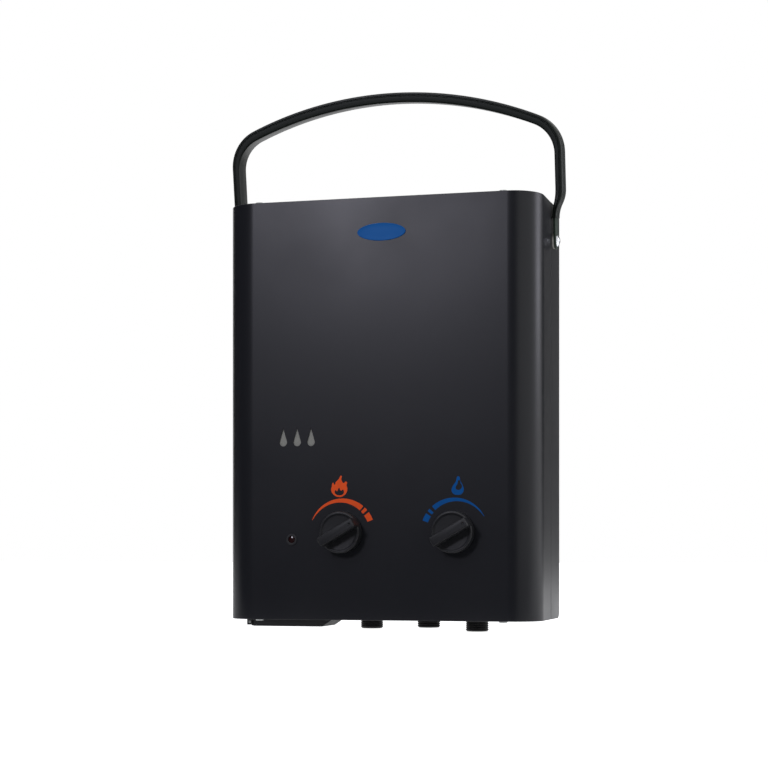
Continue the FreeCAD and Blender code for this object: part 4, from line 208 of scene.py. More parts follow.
cloud_tree, cloud_in, cloud_out = value_group(
    "uneven_finish",
    [("Colour", COLOUR, (0.5, 0.5, 0.5, 1)), ("Second", COLOUR, (0.4, 0.4, 0.4, 1)),
     ("Size", NUMBER, 12.0), ("Speckle", NUMBER, 0.1), ("Smoothest", NUMBER, 0.4),
     ("Roughest", NUMBER, 0.5)],
    [("Colour", COLOUR), ("Roughness", NUMBER)])
cloud_place = cloud_tree.nodes.new("ShaderNodeTexCoord")
cloud_large = cloud_tree.nodes.new("ShaderNodeTexNoise")
cloud_large.inputs["Detail"].default_value = 4
cloud_fine = cloud_tree.nodes.new("ShaderNodeTexNoise")
cloud_fine.inputs["Scale"].default_value = 1500
cloud_fine.inputs["Detail"].default_value = 2
cloud_share = cloud_tree.nodes.new("ShaderNodeMath")
cloud_share.operation = "MULTIPLY"
cloud_sum = cloud_tree.nodes.new("ShaderNodeMath")
cloud_sum.operation, cloud_sum.use_clamp = "ADD", True
cloud_mix = cloud_tree.nodes.new("ShaderNodeMix")
cloud_mix.data_type = "RGBA"
cloud_rough = cloud_tree.nodes.new("ShaderNodeMapRange")
cloud_rough.inputs["From Min"].default_value = 0.3
cloud_rough.inputs["From Max"].default_value = 0.7
mix_a, mix_b = [s for s in cloud_mix.inputs if s.type == "RGBA"]
mix_colour = next(s for s in cloud_mix.outputs if s.type == "RGBA")
for origin, target in (
        (cloud_place.outputs["Object"], cloud_large.inputs["Vector"]),
        (cloud_place.outputs["Object"], cloud_fine.inputs["Vector"]),
        (cloud_in.outputs["Size"], cloud_large.inputs["Scale"]),
        (cloud_fine.outputs["Fac"], cloud_share.inputs[0]),
        (cloud_in.outputs["Speckle"], cloud_share.inputs[1]),
        (cloud_large.outputs["Fac"], cloud_sum.inputs[0]),
        (cloud_share.outputs[0], cloud_sum.inputs[1]),
        (cloud_sum.outputs[0], cloud_mix.inputs[0]),
        (cloud_in.outputs["Colour"], mix_a), (cloud_in.outputs["Second"], mix_b),
        (mix_colour, cloud_out.inputs["Colour"]),
        (cloud_large.outputs["Fac"], cloud_rough.inputs["Value"]),
        (cloud_in.outputs["Smoothest"], cloud_rough.inputs["To Min"]),
        (cloud_in.outputs["Roughest"], cloud_rough.inputs["To Max"]),
        (cloud_rough.outputs[0], cloud_out.inputs["Roughness"])):
    cloud_tree.links.new(origin, target)


def linear(colour):
    """A colour written in 0 to 255 steps, as the shader wants it."""
    return tuple((c / 255 / 12.92) if c < 11 else ((c / 255 + 0.055) / 1.055) ** 2.4
                 for c in colour) + (1,)


def finish_of(name, colour, second, roughness, size=12.0, speckle=0.1, fineness=900.0,
              stretch=(1, 1, 1), relief=0.1, depth=0.0001, **sockets):
    """A material whose colour, gloss and relief vary over the surface."""
    made = bpy.data.materials.new(name)
    made.use_nodes = True
    tree = made.node_tree
    shader = tree.nodes["Principled BSDF"]
    uneven = tree.nodes.new("ShaderNodeGroup")
    uneven.node_tree = cloud_tree
    uneven.inputs["Colour"].default_value = linear(colour)
    uneven.inputs["Second"].default_value = linear(second)
    uneven.inputs["Size"].default_value = size
    uneven.inputs["Speckle"].default_value = speckle
    uneven.inputs["Smoothest"].default_value = roughness[0]
    uneven.inputs["Roughest"].default_value = roughness[1]
    grain = tree.nodes.new("ShaderNodeGroup")
    grain.node_tree = grain_tree
    grain.inputs["Fineness"].default_value = fineness
    grain.inputs["Stretch"].default_value = stretch
    bump = tree.nodes.new("ShaderNodeBump")
    bump.inputs["Strength"].default_value = relief
    bump.inputs["Distance"].default_value = depth
    tree.links.new(grain.outputs["Height"], bump.inputs["Height"])
    tree.links.new(uneven.outputs["Colour"], shader.inputs["Base Color"])
    tree.links.new(uneven.outputs["Roughness"], shader.inputs["Roughness"])
    tree.links.new(bump.outputs["Normal"], shader.inputs["Normal"])
    for label, value in sockets.items():
        shader.inputs[label.replace("_", " ")].default_value = value
    return made


def placed(name, mesh, body, slot, material, *stood_for):
    """A finished mesh as a piece that rides on a body and may stand for CAD nodes."""
    piece = bpy.data.objects.new(name, mesh)
    scene.collection.objects.link(piece)
    mesh.materials.clear()
    mesh.materials.append(material)
    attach(piece, body)
    if stood_for:
        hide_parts(*stood_for)
    return piece


def evaluated(holder):
    """The holder's mesh with its modifiers applied; the holder goes."""
    graph = bpy.context.evaluated_depsgraph_get()
    mesh = bpy.data.meshes.new_from_object(holder.evaluated_get(graph))
    bpy.data.objects.remove(holder)
    return mesh


def eased(mesh, width, weight_of=None, segments=3, least_angle=28, joined=True):
    """The mesh with sharp edges rounded; joined first merges faces that lie in one plane."""
    shape = bmesh.new()
    shape.from_mesh(mesh)
    bmesh.ops.remove_doubles(shape, verts=shape.verts, dist=2e-6)
    if joined:
        bmesh.ops.dissolve_limit(shape, angle_limit=math.radians(0.6), verts=shape.verts,
                                 edges=shape.edges)
    weights = shape.edges.layers.float.new("bevel_weight_edge")
    for edge in shape.edges:
        sharp = len(edge.link_faces) == 2 and \
            edge.calc_face_angle(0) > math.radians(least_angle)
        edge.smooth = not sharp
        if sharp:
            edge[weights] = 1 if weight_of is None else weight_of(edge)
            edge.smooth = edge[weights] > 0
    for face in shape.faces:
        face.smooth = True
    copy = bpy.data.meshes.new("eased")
    shape.to_mesh(copy)
    shape.free()
    holder = bpy.data.objects.new("holder", copy)
    scene.collection.objects.link(holder)
    bevel = holder.modifiers.new("ease", "BEVEL")
    bevel.limit_method, bevel.width, bevel.segments = "WEIGHT", width, segments
    bevel.use_clamp_overlap, bevel.miter_outer = True, "MITER_ARC"
    holder.modifiers.new("even", "WEIGHTED_NORMAL").keep_sharp = True
    return evaluated(holder)


powder_coat = finish_of("powder_coat", (28, 29, 33), (24, 25, 29), (0.29, 0.36), size=9,
                        speckle=0.15, fineness=1150, relief=0.16, depth=0.00012,
                        Specular_IOR_Level=0.3)
COVER_CORNER, CASE_HALF, CASE_FRONT = 28 * MM, 144 * MM, -108 * MM
CASE_TOP, CASE_BOTTOM = 35 * MM, -340 * MM
FOLD_ROUNDING, BURR_SHARE = 1.3 * MM, 0.16


def cover_edge(edge):
    """Full rounding on the two folds of the cover, a sixth of it elsewhere."""
    for vertex in edge.verts:
        x, y, z = abs(vertex.co.x), vertex.co.y, vertex.co.z
        if min(abs(z - CASE_TOP), abs(z - CASE_BOTTOM)) > 1e-5:
            return BURR_SHARE
        centre_x, centre_y = CASE_HALF - COVER_CORNER, CASE_FRONT + COVER_CORNER
        if x > centre_x and y < centre_y:
            off = abs(math.hypot(x - centre_x, y - centre_y) - COVER_CORNER)
        else:
            off = min(abs(x - CASE_HALF), abs(y - CASE_FRONT))
        if off > 3e-5:
            return BURR_SHARE
    return 1


placed("front_cover_sheet", eased(nodes["front_cover"].data, FOLD_ROUNDING, cover_edge),
       "casing", "powder_coat", powder_coat, "front_cover")

# Chassis: the back sheet with its side strips, and the slotted top and bottom plates, all of
# the same coated sheet, with the burrs taken off their edges.
SHEET_ROUNDING = 0.22 * MM
for plate in ("back_plate", "top_plate", "bottom_plate"):
    placed(plate + "_sheet", eased(nodes[plate].data, SHEET_ROUNDING, segments=2, joined=False),
           "casing", "powder_coat", powder_coat, plate)

# Case screws: eight zinc plated pan heads with a cross recess, which hold the cover and the
# back sheet to the two plates.
zinc = finish_of("zinc_plate", (176, 178, 176), (150, 153, 152), (0.26, 0.42), size=120,
                 fineness=2200, relief=0.12, depth=0.00005, Metallic=1.0)
HEAD_RADIUS, HEAD_HEIGHT, SHANK_RADIUS, SHANK_LENGTH = 3.8 * MM, 1.2 * MM, 2 * MM, 8 * MM
CROSS_REACH, CROSS_WIDTH, CROSS_DEPTH, CROSS_TAPER = 1.9 * MM, 0.8 * MM, 0.9 * MM, 0.45


def lathe(profile, steps, around=None):
    """A closed solid turned from (radius, height) points about the Z axis."""
    shape = bmesh.new()
    rings = []
    for radius, height in profile:
        if radius < 1e-7:
            rings.append([shape.verts.new((0, 0, height))])
        else:
            rings.append([shape.verts.new((radius * math.cos(2 * math.pi * i / steps),
                                           radius * math.sin(2 * math.pi * i / steps), height))
                          for i in range(steps)])
    pairs = list(zip(rings, rings[1:]))
    if around:
        pairs.append((rings[-1], rings[0]))
    for low, high in pairs:
        for i in range(steps):
            j = (i + 1) % steps
            if len(low) == 1 and len(high) > 1:
                shape.faces.new((low[0], high[j], high[i]))
            elif len(high) == 1 and len(low) > 1:
                shape.faces.new((low[i], low[j], high[0]))
            elif len(low) > 1:
                shape.faces.new((low[i], low[j], high[j], high[i]))
    bmesh.ops.recalc_face_normals(shape, faces=shape.faces)
    made = bpy.data.meshes.new("turned")
    shape.to_mesh(made)
    shape.free()
    made.shade_smooth()
    made.set_sharp_from_angle(angle=math.radians(38))
    return made


def crossed(mesh, top, reach, width, depth):
    """The mesh with a tapered cross recess in its top face."""
    cutter = bmesh.new()
    for turn in (0, 1):
        bar = bmesh.ops.create_cube(cutter, size=1)["verts"]
        for vertex in bar:
            inward = CROSS_TAPER if vertex.co.z < 0 else 1
            x, y = vertex.co.x * 2 * reach * inward, vertex.co.y * width
            z = top + (-depth if vertex.co.z < 0 else depth)
            vertex.co = (y, x, z) if turn else (x, y, z)
    bmesh.ops.recalc_face_normals(cutter, faces=cutter.faces)
    tool_mesh = bpy.data.meshes.new("cross")
    cutter.to_mesh(tool_mesh)
    cutter.free()
    tool = bpy.data.objects.new("cross", tool_mesh)
    scene.collection.objects.link(tool)
    holder = bpy.data.objects.new("holder", mesh)
    scene.collection.objects.link(holder)
    cut = holder.modifiers.new("recess", "BOOLEAN")
    cut.operation, cut.solver, cut.object, cut.use_self = "DIFFERENCE", "EXACT", tool, True
    result = evaluated(holder)
    bpy.data.objects.remove(tool)
    result.shade_smooth()
    result.set_sharp_from_angle(angle=math.radians(38))
    return result


screw_profile = [(0, -SHANK_LENGTH), (SHANK_RADIUS, -SHANK_LENGTH), (SHANK_RADIUS, 0),
                 (HEAD_RADIUS, 0)]
screw_profile += [(HEAD_RADIUS - HEAD_HEIGHT * 0.75 * (1 - math.cos(a)),
                   HEAD_HEIGHT * (0.25 + 0.75 * math.sin(a)))
                  for a in (0, 0.4, 0.8, 1.2, 1.5)] + [(0, HEAD_HEIGHT)]
screw_mesh = crossed(lathe(screw_profile, 28), HEAD_HEIGHT, CROSS_REACH, CROSS_WIDTH,
                     CROSS_DEPTH)
screw_tree = bpy.data.node_groups.new("screws_on_two_plates", "GeometryNodeTree")
for label, kind in (("Geometry", "NodeSocketGeometry"), ("Across", NUMBER), ("Deep", NUMBER),
                    ("Upper centre", DIRECTION), ("Lower centre", DIRECTION),
                    ("Finish", "NodeSocketMaterial")):
    screw_tree.interface.new_socket(name=label, in_out="INPUT", socket_type=kind)
screw_tree.interface.new_socket(name="Geometry", in_out="OUTPUT",
                                socket_type="NodeSocketGeometry")
tree_nodes, tree_links = screw_tree.nodes, screw_tree.links
tree_in, tree_out = tree_nodes.new("NodeGroupInput"), tree_nodes.new("NodeGroupOutput")
corners = tree_nodes.new("GeometryNodeMeshGrid")
corners.inputs["Vertices X"].default_value = 2
corners.inputs["Vertices Y"].default_value = 2
tree_links.new(tree_in.outputs["Across"], corners.inputs["Size X"])
tree_links.new(tree_in.outputs["Deep"], corners.inputs["Size Y"])
both = tree_nodes.new("GeometryNodeJoinGeometry")
for centre, turned in (("Upper centre", 0), ("Lower centre", math.pi)):
    moved = tree_nodes.new("GeometryNodeTransform")
    spread = tree_nodes.new("GeometryNodeInstanceOnPoints")
    spread.inputs["Rotation"].default_value = (turned, 0, 0)
    tree_links.new(corners.outputs["Mesh"], moved.inputs["Geometry"])
    tree_links.new(tree_in.outputs[centre], moved.inputs["Translation"])
    tree_links.new(moved.outputs["Geometry"], spread.inputs["Points"])
    tree_links.new(tree_in.outputs["Geometry"], spread.inputs["Instance"])
    tree_links.new(spread.outputs["Instances"], both.inputs[0])
real = tree_nodes.new("GeometryNodeRealizeInstances")
coated = tree_nodes.new("GeometryNodeSetMaterial")
tree_links.new(both.outputs[0], real.inputs[0])
tree_links.new(real.outputs[0], coated.inputs["Geometry"])
tree_links.new(tree_in.outputs["Finish"], coated.inputs["Material"])
tree_links.new(coated.outputs[0], tree_out.inputs[0])


def grown(tree, mesh, **values):
    """The mesh after a geometry tree with these input values, as a plain mesh."""
    holder = bpy.data.objects.new("holder", mesh)
    scene.collection.objects.link(holder)
    modifier = holder.modifiers.new("tree", "NODES")
    modifier.node_group = tree
    for item in tree.interface.items_tree:
        label = item.name.replace(" ", "_")
        if item.in_out == "INPUT" and label in values:
            modifier[item.identifier] = values[label]
    return evaluated(holder)


SCREW_SPREAD, SCREW_INSET = 112 * MM, 6 * MM
middle_y = CASE_FRONT / 2
case_screw_mesh = grown(screw_tree, screw_mesh, Across=2 * SCREW_SPREAD,
                        Deep=-CASE_FRONT - 2 * SCREW_INSET,
                        Upper_centre=(0, middle_y, CASE_TOP),
                        Lower_centre=(0, middle_y, CASE_BOTTOM), Finish=zinc)
placed("case_screw_heads", case_screw_mesh, "casing", "zinc_screws", zinc, "case_screws")

# Handle grip: moulded plastic over a bent steel band. Its narrow front and rear faces carry a
# groove, and its arms bow out from the lugs before they rise to a flat arch.
PIVOT_Y, PIVOT_Z, LEAN = -32.0, 2.0, math.radians(9)
REACH, RISE, ARM, CROWN, HALF_WIDTH = 155.5, 139.0, 7.0, 9.0, 10.0
CORNER, ARCH, GRIP_LOW, GRIP_BOW = 36.0, 347.0, 20.0, 46.0
OUTER_LOW, INNER_LOW, EDGE = 148.9, 144.9, 1.6


def bowed(low_x, high_x, height):
    """Sideways place of an arm's face between its lower end and its straight part."""
    shift, climb = high_x - low_x, GRIP_BOW - GRIP_LOW
    bend = (climb ** 2 + shift ** 2) / (4 * shift)
    if height < (GRIP_LOW + GRIP_BOW) / 2:
        return low_x + bend - math.sqrt(bend ** 2 - (height - GRIP_LOW) ** 2)
    return high_x - bend + math.sqrt(bend ** 2 - (GRIP_BOW - height) ** 2)


def arch_face(reach, rise, corner, arch, share):
    """A point of one face: up the arm to share 1, round the corner to 2, on the arch to 3."""
    corner_x, centre_z = reach - corner, rise - arch
    corner_z = centre_z + math.sqrt((arch - corner) ** 2 - corner_x ** 2)
    turn = math.atan2(corner_z - centre_z, corner_x)
    if share <= 1:
        return reach, GRIP_BOW + (corner_z - GRIP_BOW) * share
    if share <= 2:
        angle = turn * (share - 1)
        return corner_x + corner * math.cos(angle), corner_z + corner * math.sin(angle)
    angle = turn + (math.pi / 2 - turn) * (share - 2)
    return arch * math.cos(angle), centre_z + arch * math.sin(angle)


stations = []
for step in range(12):
    height = GRIP_LOW + (GRIP_BOW - GRIP_LOW) * step / 12
    stations.append(((bowed(OUTER_LOW, REACH, height), height),
                     (bowed(INNER_LOW, REACH - ARM, height), height)))
for share in [k / 4 for k in range(4)] + [1 + k / 16 for k in range(16)] + \
        [2 + k / 22 for k in range(23)]:
    stations.append((arch_face(REACH, RISE, CORNER, ARCH, share),
                     arch_face(REACH - ARM, RISE - CROWN, CORNER - ARM, ARCH - CROWN, share)))
stations += [((-o[0], o[1]), (-i[0], i[1])) for o, i in reversed(stations[:-1])]


def grip_section(thickness):
    """Outline of the grip across its thickness: (distance from the inner face, side to side)."""
    k = min(1, thickness / ARM)
    half = [(EDGE * k * (1 - math.sin(a)), -HALF_WIDTH + EDGE * (1 - math.cos(a)))
            for a in (math.pi / 2, 1.18, 0.79, 0.39, 0)]
    half += [(thickness - 3.6 * k, -HALF_WIDTH), (thickness - 3.3 * k, -HALF_WIDTH + 0.5),
             (thickness - 3.0 * k, -HALF_WIDTH + 0.9), (thickness - 2.5 * k, -HALF_WIDTH + 0.9),
             (thickness - 2.2 * k, -HALF_WIDTH + 0.5), (thickness - 1.9 * k, -HALF_WIDTH)]
    half += [(thickness - EDGE * k * (1 - math.sin(a)), -HALF_WIDTH + EDGE * (1 - math.cos(a)))
             for a in (0.2, 0.6, 0.95, 1.25, math.pi / 2)]
    half += [(thickness, -HALF_WIDTH / 2)]
    return half + [(t, -w) for t, w in reversed(half)]


grip = bmesh.new()
grip_rings = []
for outer, inner in stations:
    out_x, out_z = outer
    in_x, in_z = inner
    thick = math.hypot(out_x - in_x, out_z - in_z)
    ring = []
    for t, w in grip_section(thick):
        x = in_x + (out_x - in_x) * t / thick
        s = in_z + (out_z - in_z) * t / thick
        ring.append(grip.verts.new(Vector((
            x, PIVOT_Y - math.sin(LEAN) * s + math.cos(LEAN) * w,
            PIVOT_Z + math.cos(LEAN) * s + math.sin(LEAN) * w)) * MM))
    grip_rings.append(ring)
for low, high in zip(grip_rings, grip_rings[1:]):
    for i in range(len(low)):
        j = (i + 1) % len(low)
        grip.faces.new((low[i], low[j], high[j], high[i]))
grip.faces.new(grip_rings[0])
grip.faces.new(grip_rings[-1])
bmesh.ops.recalc_face_normals(grip, faces=grip.faces)
grip_mesh = bpy.data.meshes.new("grip")
grip.to_mesh(grip_mesh)
grip.free()
grip_mesh.shade_smooth()
grip_mesh.set_sharp_from_angle(angle=math.radians(40))
handle_plastic = finish_of("handle_plastic", (14, 23, 16), (11, 19, 13), (0.4, 0.52), size=30,
                           fineness=1700, relief=0.22, depth=0.00012, Specular_IOR_Level=0.4)
placed("handle_grip_moulding", grip_mesh, "handle", "handle_plastic", handle_plastic,
       "handle_grip")

# Handle band: flat steel, coated in the grip's colour, that ends in two round lugs.
coated_steel = finish_of("coated_steel", (52, 66, 55), (44, 57, 47), (0.4, 0.5), size=40,
                         fineness=1300, relief=0.14, depth=0.0001, Specular_IOR_Level=0.4)
placed("handle_band_strip", eased(nodes["handle_band"].data, 0.4 * MM), "handle",
       "coated_steel", coated_steel, "handle_band")

# Pivot screws: chrome plated domes with a cross recess, over nylon spacers, with nuts inside.
chrome = finish_of("chrome", (214, 216, 220), (200, 203, 208), (0.08, 0.16), size=90,
                   fineness=2500, relief=0.03, depth=0.00003, Metallic=1.0)
nylon = finish_of("nylon", (222, 220, 210), (208, 205, 194), (0.45, 0.55), size=60,
                  fineness=1500, relief=0.1, depth=0.00008, Specular_IOR_Level=0.4)
DOME_RADIUS, DOME_HEIGHT, PIVOT_RADIUS, PIVOT_LENGTH = 5.3, 2.6, 2.5, 9.7
DOME_SEAT, DOME_CROSS_TURN = 147.7, 0.5
sphere = (DOME_RADIUS ** 2 + DOME_HEIGHT ** 2) / (2 * DOME_HEIGHT)
dome_profile = [(0, -PIVOT_LENGTH), (PIVOT_RADIUS, -PIVOT_LENGTH), (PIVOT_RADIUS, 0),
                (DOME_RADIUS, 0)]
dome_sweep = math.asin(DOME_RADIUS / sphere)
dome_profile += [(sphere * math.sin(dome_sweep * k / 8),
                  DOME_HEIGHT - sphere + sphere * math.cos(dome_sweep * k / 8))
                 for k in range(7, -1, -1)]
dome_mesh = crossed(lathe([(r * MM, h * MM) for r, h in dome_profile], 48),
                    DOME_HEIGHT * MM, 2.3 * MM, 1.0 * MM, 1.5 * MM)
both_domes = bmesh.new()
for side in (-1, 1):
    one = dome_mesh.copy()
    one.transform(Matrix.Translation((side * DOME_SEAT * MM, PIVOT_Y * MM, PIVOT_Z * MM))
                  @ Matrix.Rotation(side * math.pi / 2, 4, "Y")
                  @ Matrix.Rotation(DOME_CROSS_TURN, 4, "Z"))
    both_domes.from_mesh(one)
dome_pair = bpy.data.meshes.new("pivot_domes")
both_domes.to_mesh(dome_pair)
both_domes.free()
dome_pair.shade_smooth()
dome_pair.set_sharp_from_angle(angle=math.radians(38))
placed("pivot_screw_domes", dome_pair, "casing", "chrome", chrome, "handle_pivot_screws")
placed("nylon_spacer_rings", eased(nodes["handle_spacers"].data, 0.3 * MM), "casing", "nylon",
       nylon, "handle_spacers")

# Control knobs: black moulded discs with a low rim, a slightly dished face and a bar grip
# across it; a dimple near one end of the bar is the pointer.
knob_plastic = finish_of("knob_plastic", (29, 30, 33), (23, 24, 27), (0.44, 0.54), size=70,
                         fineness=1600, relief=0.2, depth=0.00012, Specular_IOR_Level=0.45)
KNOB, DISC, BAR_HEIGHT, BAR_HALF, GAP = 18.5, 11.0, 23.0, 4.5, 0.8
RIM, DISH, DISH_RAMP, KNOB_EDGE = 1.6, 0.9, 2.2, 1.5
POINTER, POINTER_DEPTH, POINTER_RADIUS = 14.5, 0.8, 1.3
BAR_ROUNDING, BAR_TAPER_LONG, BAR_TAPER_WIDE = 1.3, 0.985, 0.94
GAS_X, WATER_X, KNOB_AXIS_Z, KNOB_TURN = -32.5 * MM, 69.4 * MM, -262 * MM, math.radians(30)
face_height = GAP + DISC
knob_profile = [(0, GAP), (KNOB - 0.5, GAP), (KNOB, GAP + 0.5), (KNOB, face_height - KNOB_EDGE)]
knob_profile += [(KNOB - KNOB_EDGE * (1 - math.cos(a)),
                  face_height - KNOB_EDGE * (1 - math.sin(a))) for a in (0.4, 0.8, 1.2, 1.57)]
knob_profile += [(KNOB - RIM, face_height)]
knob_profile += [(KNOB - RIM - DISH_RAMP * k / 6,
                  face_height - DISH * (1 - math.cos(math.pi * k / 6)) / 2)
                 for k in range(1, 7)] + [(0, face_height - DISH)]
disc_mesh = lathe([(r * MM, h * MM) for r, h in knob_profile], 72)
bar = bmesh.new()
bar_turn = math.asin(BAR_HALF / KNOB)
bar_plan = [(side * KNOB * math.cos(bar_turn * k / 4),
             side * KNOB * math.sin(bar_turn * k / 4))
            for side in (1, -1) for k in range(-4, 5)]
bar_low = [bar.verts.new((x * MM, y * MM, (GAP + 1) * MM)) for x, y in bar_plan]
bar_high = [bar.verts.new((x * BAR_TAPER_LONG * MM, y * BAR_TAPER_WIDE * MM, BAR_HEIGHT * MM))
            for x, y in bar_plan]
for i in range(len(bar_plan)):
    j = (i + 1) % len(bar_plan)
    bar.faces.new((bar_low[i], bar_low[j], bar_high[j], bar_high[i]))
bar.faces.new(bar_high)
bar.faces.new(bar_low)
bmesh.ops.recalc_face_normals(bar, faces=bar.faces)
bar_mesh = bpy.data.meshes.new("bar")
bar.to_mesh(bar_mesh)
bar.free()


def bar_edge(edge):
    """Only the bar's upper rim and upright corners are rounded."""
    heights = [vertex.co.z for vertex in edge.verts]
    if min(heights) > 20 * MM:
        return 1
    return 0.4 if max(heights) > 20 * MM else 0


bar_mesh = eased(bar_mesh, BAR_ROUNDING * MM, bar_edge, segments=4)
dimple = bmesh.new()
bmesh.ops.create_uvsphere(dimple, u_segments=20, v_segments=12,
                          radius=POINTER_RADIUS * MM)
bmesh.ops.translate(dimple, verts=dimple.verts,
                    vec=(POINTER * MM, 0, (BAR_HEIGHT + POINTER_RADIUS - POINTER_DEPTH) * MM))
dimple_mesh = bpy.data.meshes.new("dimple")
dimple.to_mesh(dimple_mesh)
dimple.free()
dimple_tool = bpy.data.objects.new("dimple", dimple_mesh)
scene.collection.objects.link(dimple_tool)
bar_holder = bpy.data.objects.new("bar", bar_mesh)
scene.collection.objects.link(bar_holder)
sunk = bar_holder.modifiers.new("dimple", "BOOLEAN")
sunk.operation, sunk.solver, sunk.object = "DIFFERENCE", "EXACT", dimple_tool
bar_mesh = evaluated(bar_holder)
bpy.data.objects.remove(dimple_tool)
for name, across, body in (("gas_knob", GAS_X, "gas_control"),
                           ("water_knob", WATER_X, "water_control")):
    whole = bmesh.new()
    whole.from_mesh(disc_mesh)
    whole.from_mesh(bar_mesh)
    knob_mesh = bpy.data.meshes.new(name)
    whole.to_mesh(knob_mesh)
    whole.free()
    knob_mesh.transform(Matrix.Translation((across, CASE_FRONT, KNOB_AXIS_Z))
                        @ Matrix.Rotation(KNOB_TURN, 4, Vector((0, -1, 0)))
                        @ Matrix.Rotation(math.pi / 2, 4, "X"))
    knob_mesh.shade_smooth()
    knob_mesh.set_sharp_from_angle(angle=math.radians(36))
    placed(name + "_moulding", knob_mesh, body, "knob_plastic", knob_plastic, name)

# Printed marks: a flame and a drop over the knobs, each with a tapering scale that ends in
# two dashes. They are screen printed, so they stand a few hundredths proud.
flame_ink = finish_of("flame_ink", (226, 84, 30), (212, 74, 24), (0.4, 0.5), size=200,
                      fineness=2600, relief=0.1, depth=0.00004, Specular_IOR_Level=0.12)
water_ink = finish_of("water_ink", (3, 80, 146), (1, 70, 132), (0.4, 0.5), size=200,
                      fineness=2600, relief=0.1, depth=0.00004, Specular_IOR_Level=0.08)
INK, SCALE_RADIUS = 0.05, 30.3


def printed(name, outlines, across, height, material):
    """Closed outlines in mm, filled and set on the cover's face about a point."""
    curve = bpy.data.curves.new(name, "CURVE")
    curve.dimensions, curve.fill_mode, curve.extrude = "2D", "BOTH", INK * MM
    for points, rounded in outlines:
        spline = curve.splines.new("BEZIER" if rounded else "POLY")
        if rounded:
            spline.bezier_points.add(len(points) - 1)
            for point, (x, y) in zip(spline.bezier_points, points):
                point.co = (x * MM, y * MM, 0)
                point.handle_left_type = point.handle_right_type = rounded
        else:
            spline.points.add(len(points) - 1)
            for point, (x, y) in zip(spline.points, points):
                point.co = (x * MM, y * MM, 0, 1)
        spline.use_cyclic_u = True
        spline.resolution_u = 8
    mesh = evaluated_curve(curve)
    mesh.transform(Matrix.Translation((across, CASE_FRONT, height))
                   @ Matrix.Rotation(math.pi / 2, 4, "X"))
    return placed(name, mesh, "casing", "powder_coat", material)


def evaluated_curve(curve):
    """A curve as a mesh."""
    holder = bpy.data.objects.new("holder", curve)
    scene.collection.objects.link(holder)
    bpy.context.view_layer.update()
    return evaluated(holder)


def scale_outline(start, end, wide_start, wide_end, outer=SCALE_RADIUS, steps=40):
    """A piece of a ring between two angles in degrees, whose width changes along it."""
    far, near = [], []
    for k in range(steps + 1):
        angle = math.radians(start + (end - start) * k / steps)
        wide = wide_start + (wide_end - wide_start) * (k / steps) ** 0.8
        far.append((outer * math.cos(angle), outer * math.sin(angle)))
        near.append(((outer - wide) * math.cos(angle), (outer - wide) * math.sin(angle)))
    return far + near[::-1], None


printed("gas_scale", [scale_outline(158, 50.5, 0.35, 5.1),
                      scale_outline(47, 41, 5.1, 5.1, steps=6),
                      scale_outline(36.5, 22, 5.3, 5.3, steps=12)],
        GAS_X, KNOB_AXIS_Z, flame_ink)
printed("water_scale", [scale_outline(27, 131, 0.3, 4.6),
                        scale_outline(137, 142, 4.9, 4.9, steps=6),
                        scale_outline(146.5, 160, 5.2, 5.2, steps=12)],
        WATER_X, KNOB_AXIS_Z, water_ink)
flame_outline = [(0.2, 0), (-4.6, 1.6), (-7.4, 5.6), (-7.0, 9.2), (-5.6, 12.8), (-4.6, 11.0),
                 (-3.2, 13.4), (-0.6, 15.8), (2.0, 19.0), (1.9, 15.8), (3.0, 13.2),
                 (4.4, 12.4), (5.4, 13.6), (7.2, 13.0), (6.8, 10.6), (7.5, 7.4), (6.6, 3.6),
                 (3.8, 1.0)]
flame_hollow = [(0.2, 1.5), (-3.2, 2.5), (-4.2, 4.4), (-3.4, 6.2), (-2.2, 5.2), (-1.2, 6.6),
                (-0.2, 8.2), (0.8, 6.4), (2.0, 5.6), (3.2, 6.6), (4.3, 4.6), (3.4, 2.5)]
printed("flame_mark", [(flame_outline, "AUTO"), (flame_hollow, "AUTO")], GAS_X - 2.9 * MM,
        KNOB_AXIS_Z + 31.6 * MM, flame_ink)
drop_outline = [(0.6, 16.3), (-1.6, 11.6), (-4.6, 7.2), (-5.4, 3.6), (-3.6, 0.9), (0, 0),
                (3.6, 0.9), (5.4, 3.8), (4.9, 7.6), (2.6, 11.8)]
drop_hollow = [(1.2, 13.0), (-0.2, 9.6), (-1.5, 7.4), (-1.6, 5.4), (0.4, 4.3), (2.8, 5.0),
               (4.0, 7.2), (2.8, 10.2)]
printed("drop_mark", [(drop_outline, "AUTO"), (drop_hollow, "AUTO")], WATER_X + 3.1 * MM,
        KNOB_AXIS_Z + 32.7 * MM, water_ink)

# Badge: a plain oval plate of blue enamelled metal with a thin raised rim.
badge_blue = finish_of("badge_blue", (4, 86, 154), (2, 78, 143), (0.42, 0.5), size=80,
                       fineness=2400, relief=0.05, depth=0.00004, Specular_IOR_Level=0.12)
BADGE_X, BADGE_Z, BADGE_LONG, BADGE_TALL, BADGE_SEAT, BADGE_STEPS = 3.5, 4.0, 22.0, 7.75, -108, 96
badge_rings = [(0, 0, 0), (0, 0, 0.62), (0.15, 0.15, 0.75), (0.35, 0.35, 0.8), (0.7, 0.7, 0.8),
               (0.9, 0.9, 0.66), (1.1, 1.1, 0.62), (4.5, 4.5, 0.66)]
badge = bmesh.new()
badge_loops = []
for inset_x, inset_z, height in badge_rings:
    badge_loops.append([badge.verts.new(Vector((
        BADGE_X + (BADGE_LONG - inset_x) * math.cos(2 * math.pi * i / BADGE_STEPS),
        BADGE_SEAT - height,
        BADGE_Z + (BADGE_TALL - inset_z) * math.sin(2 * math.pi * i / BADGE_STEPS))) * MM)
        for i in range(BADGE_STEPS)])
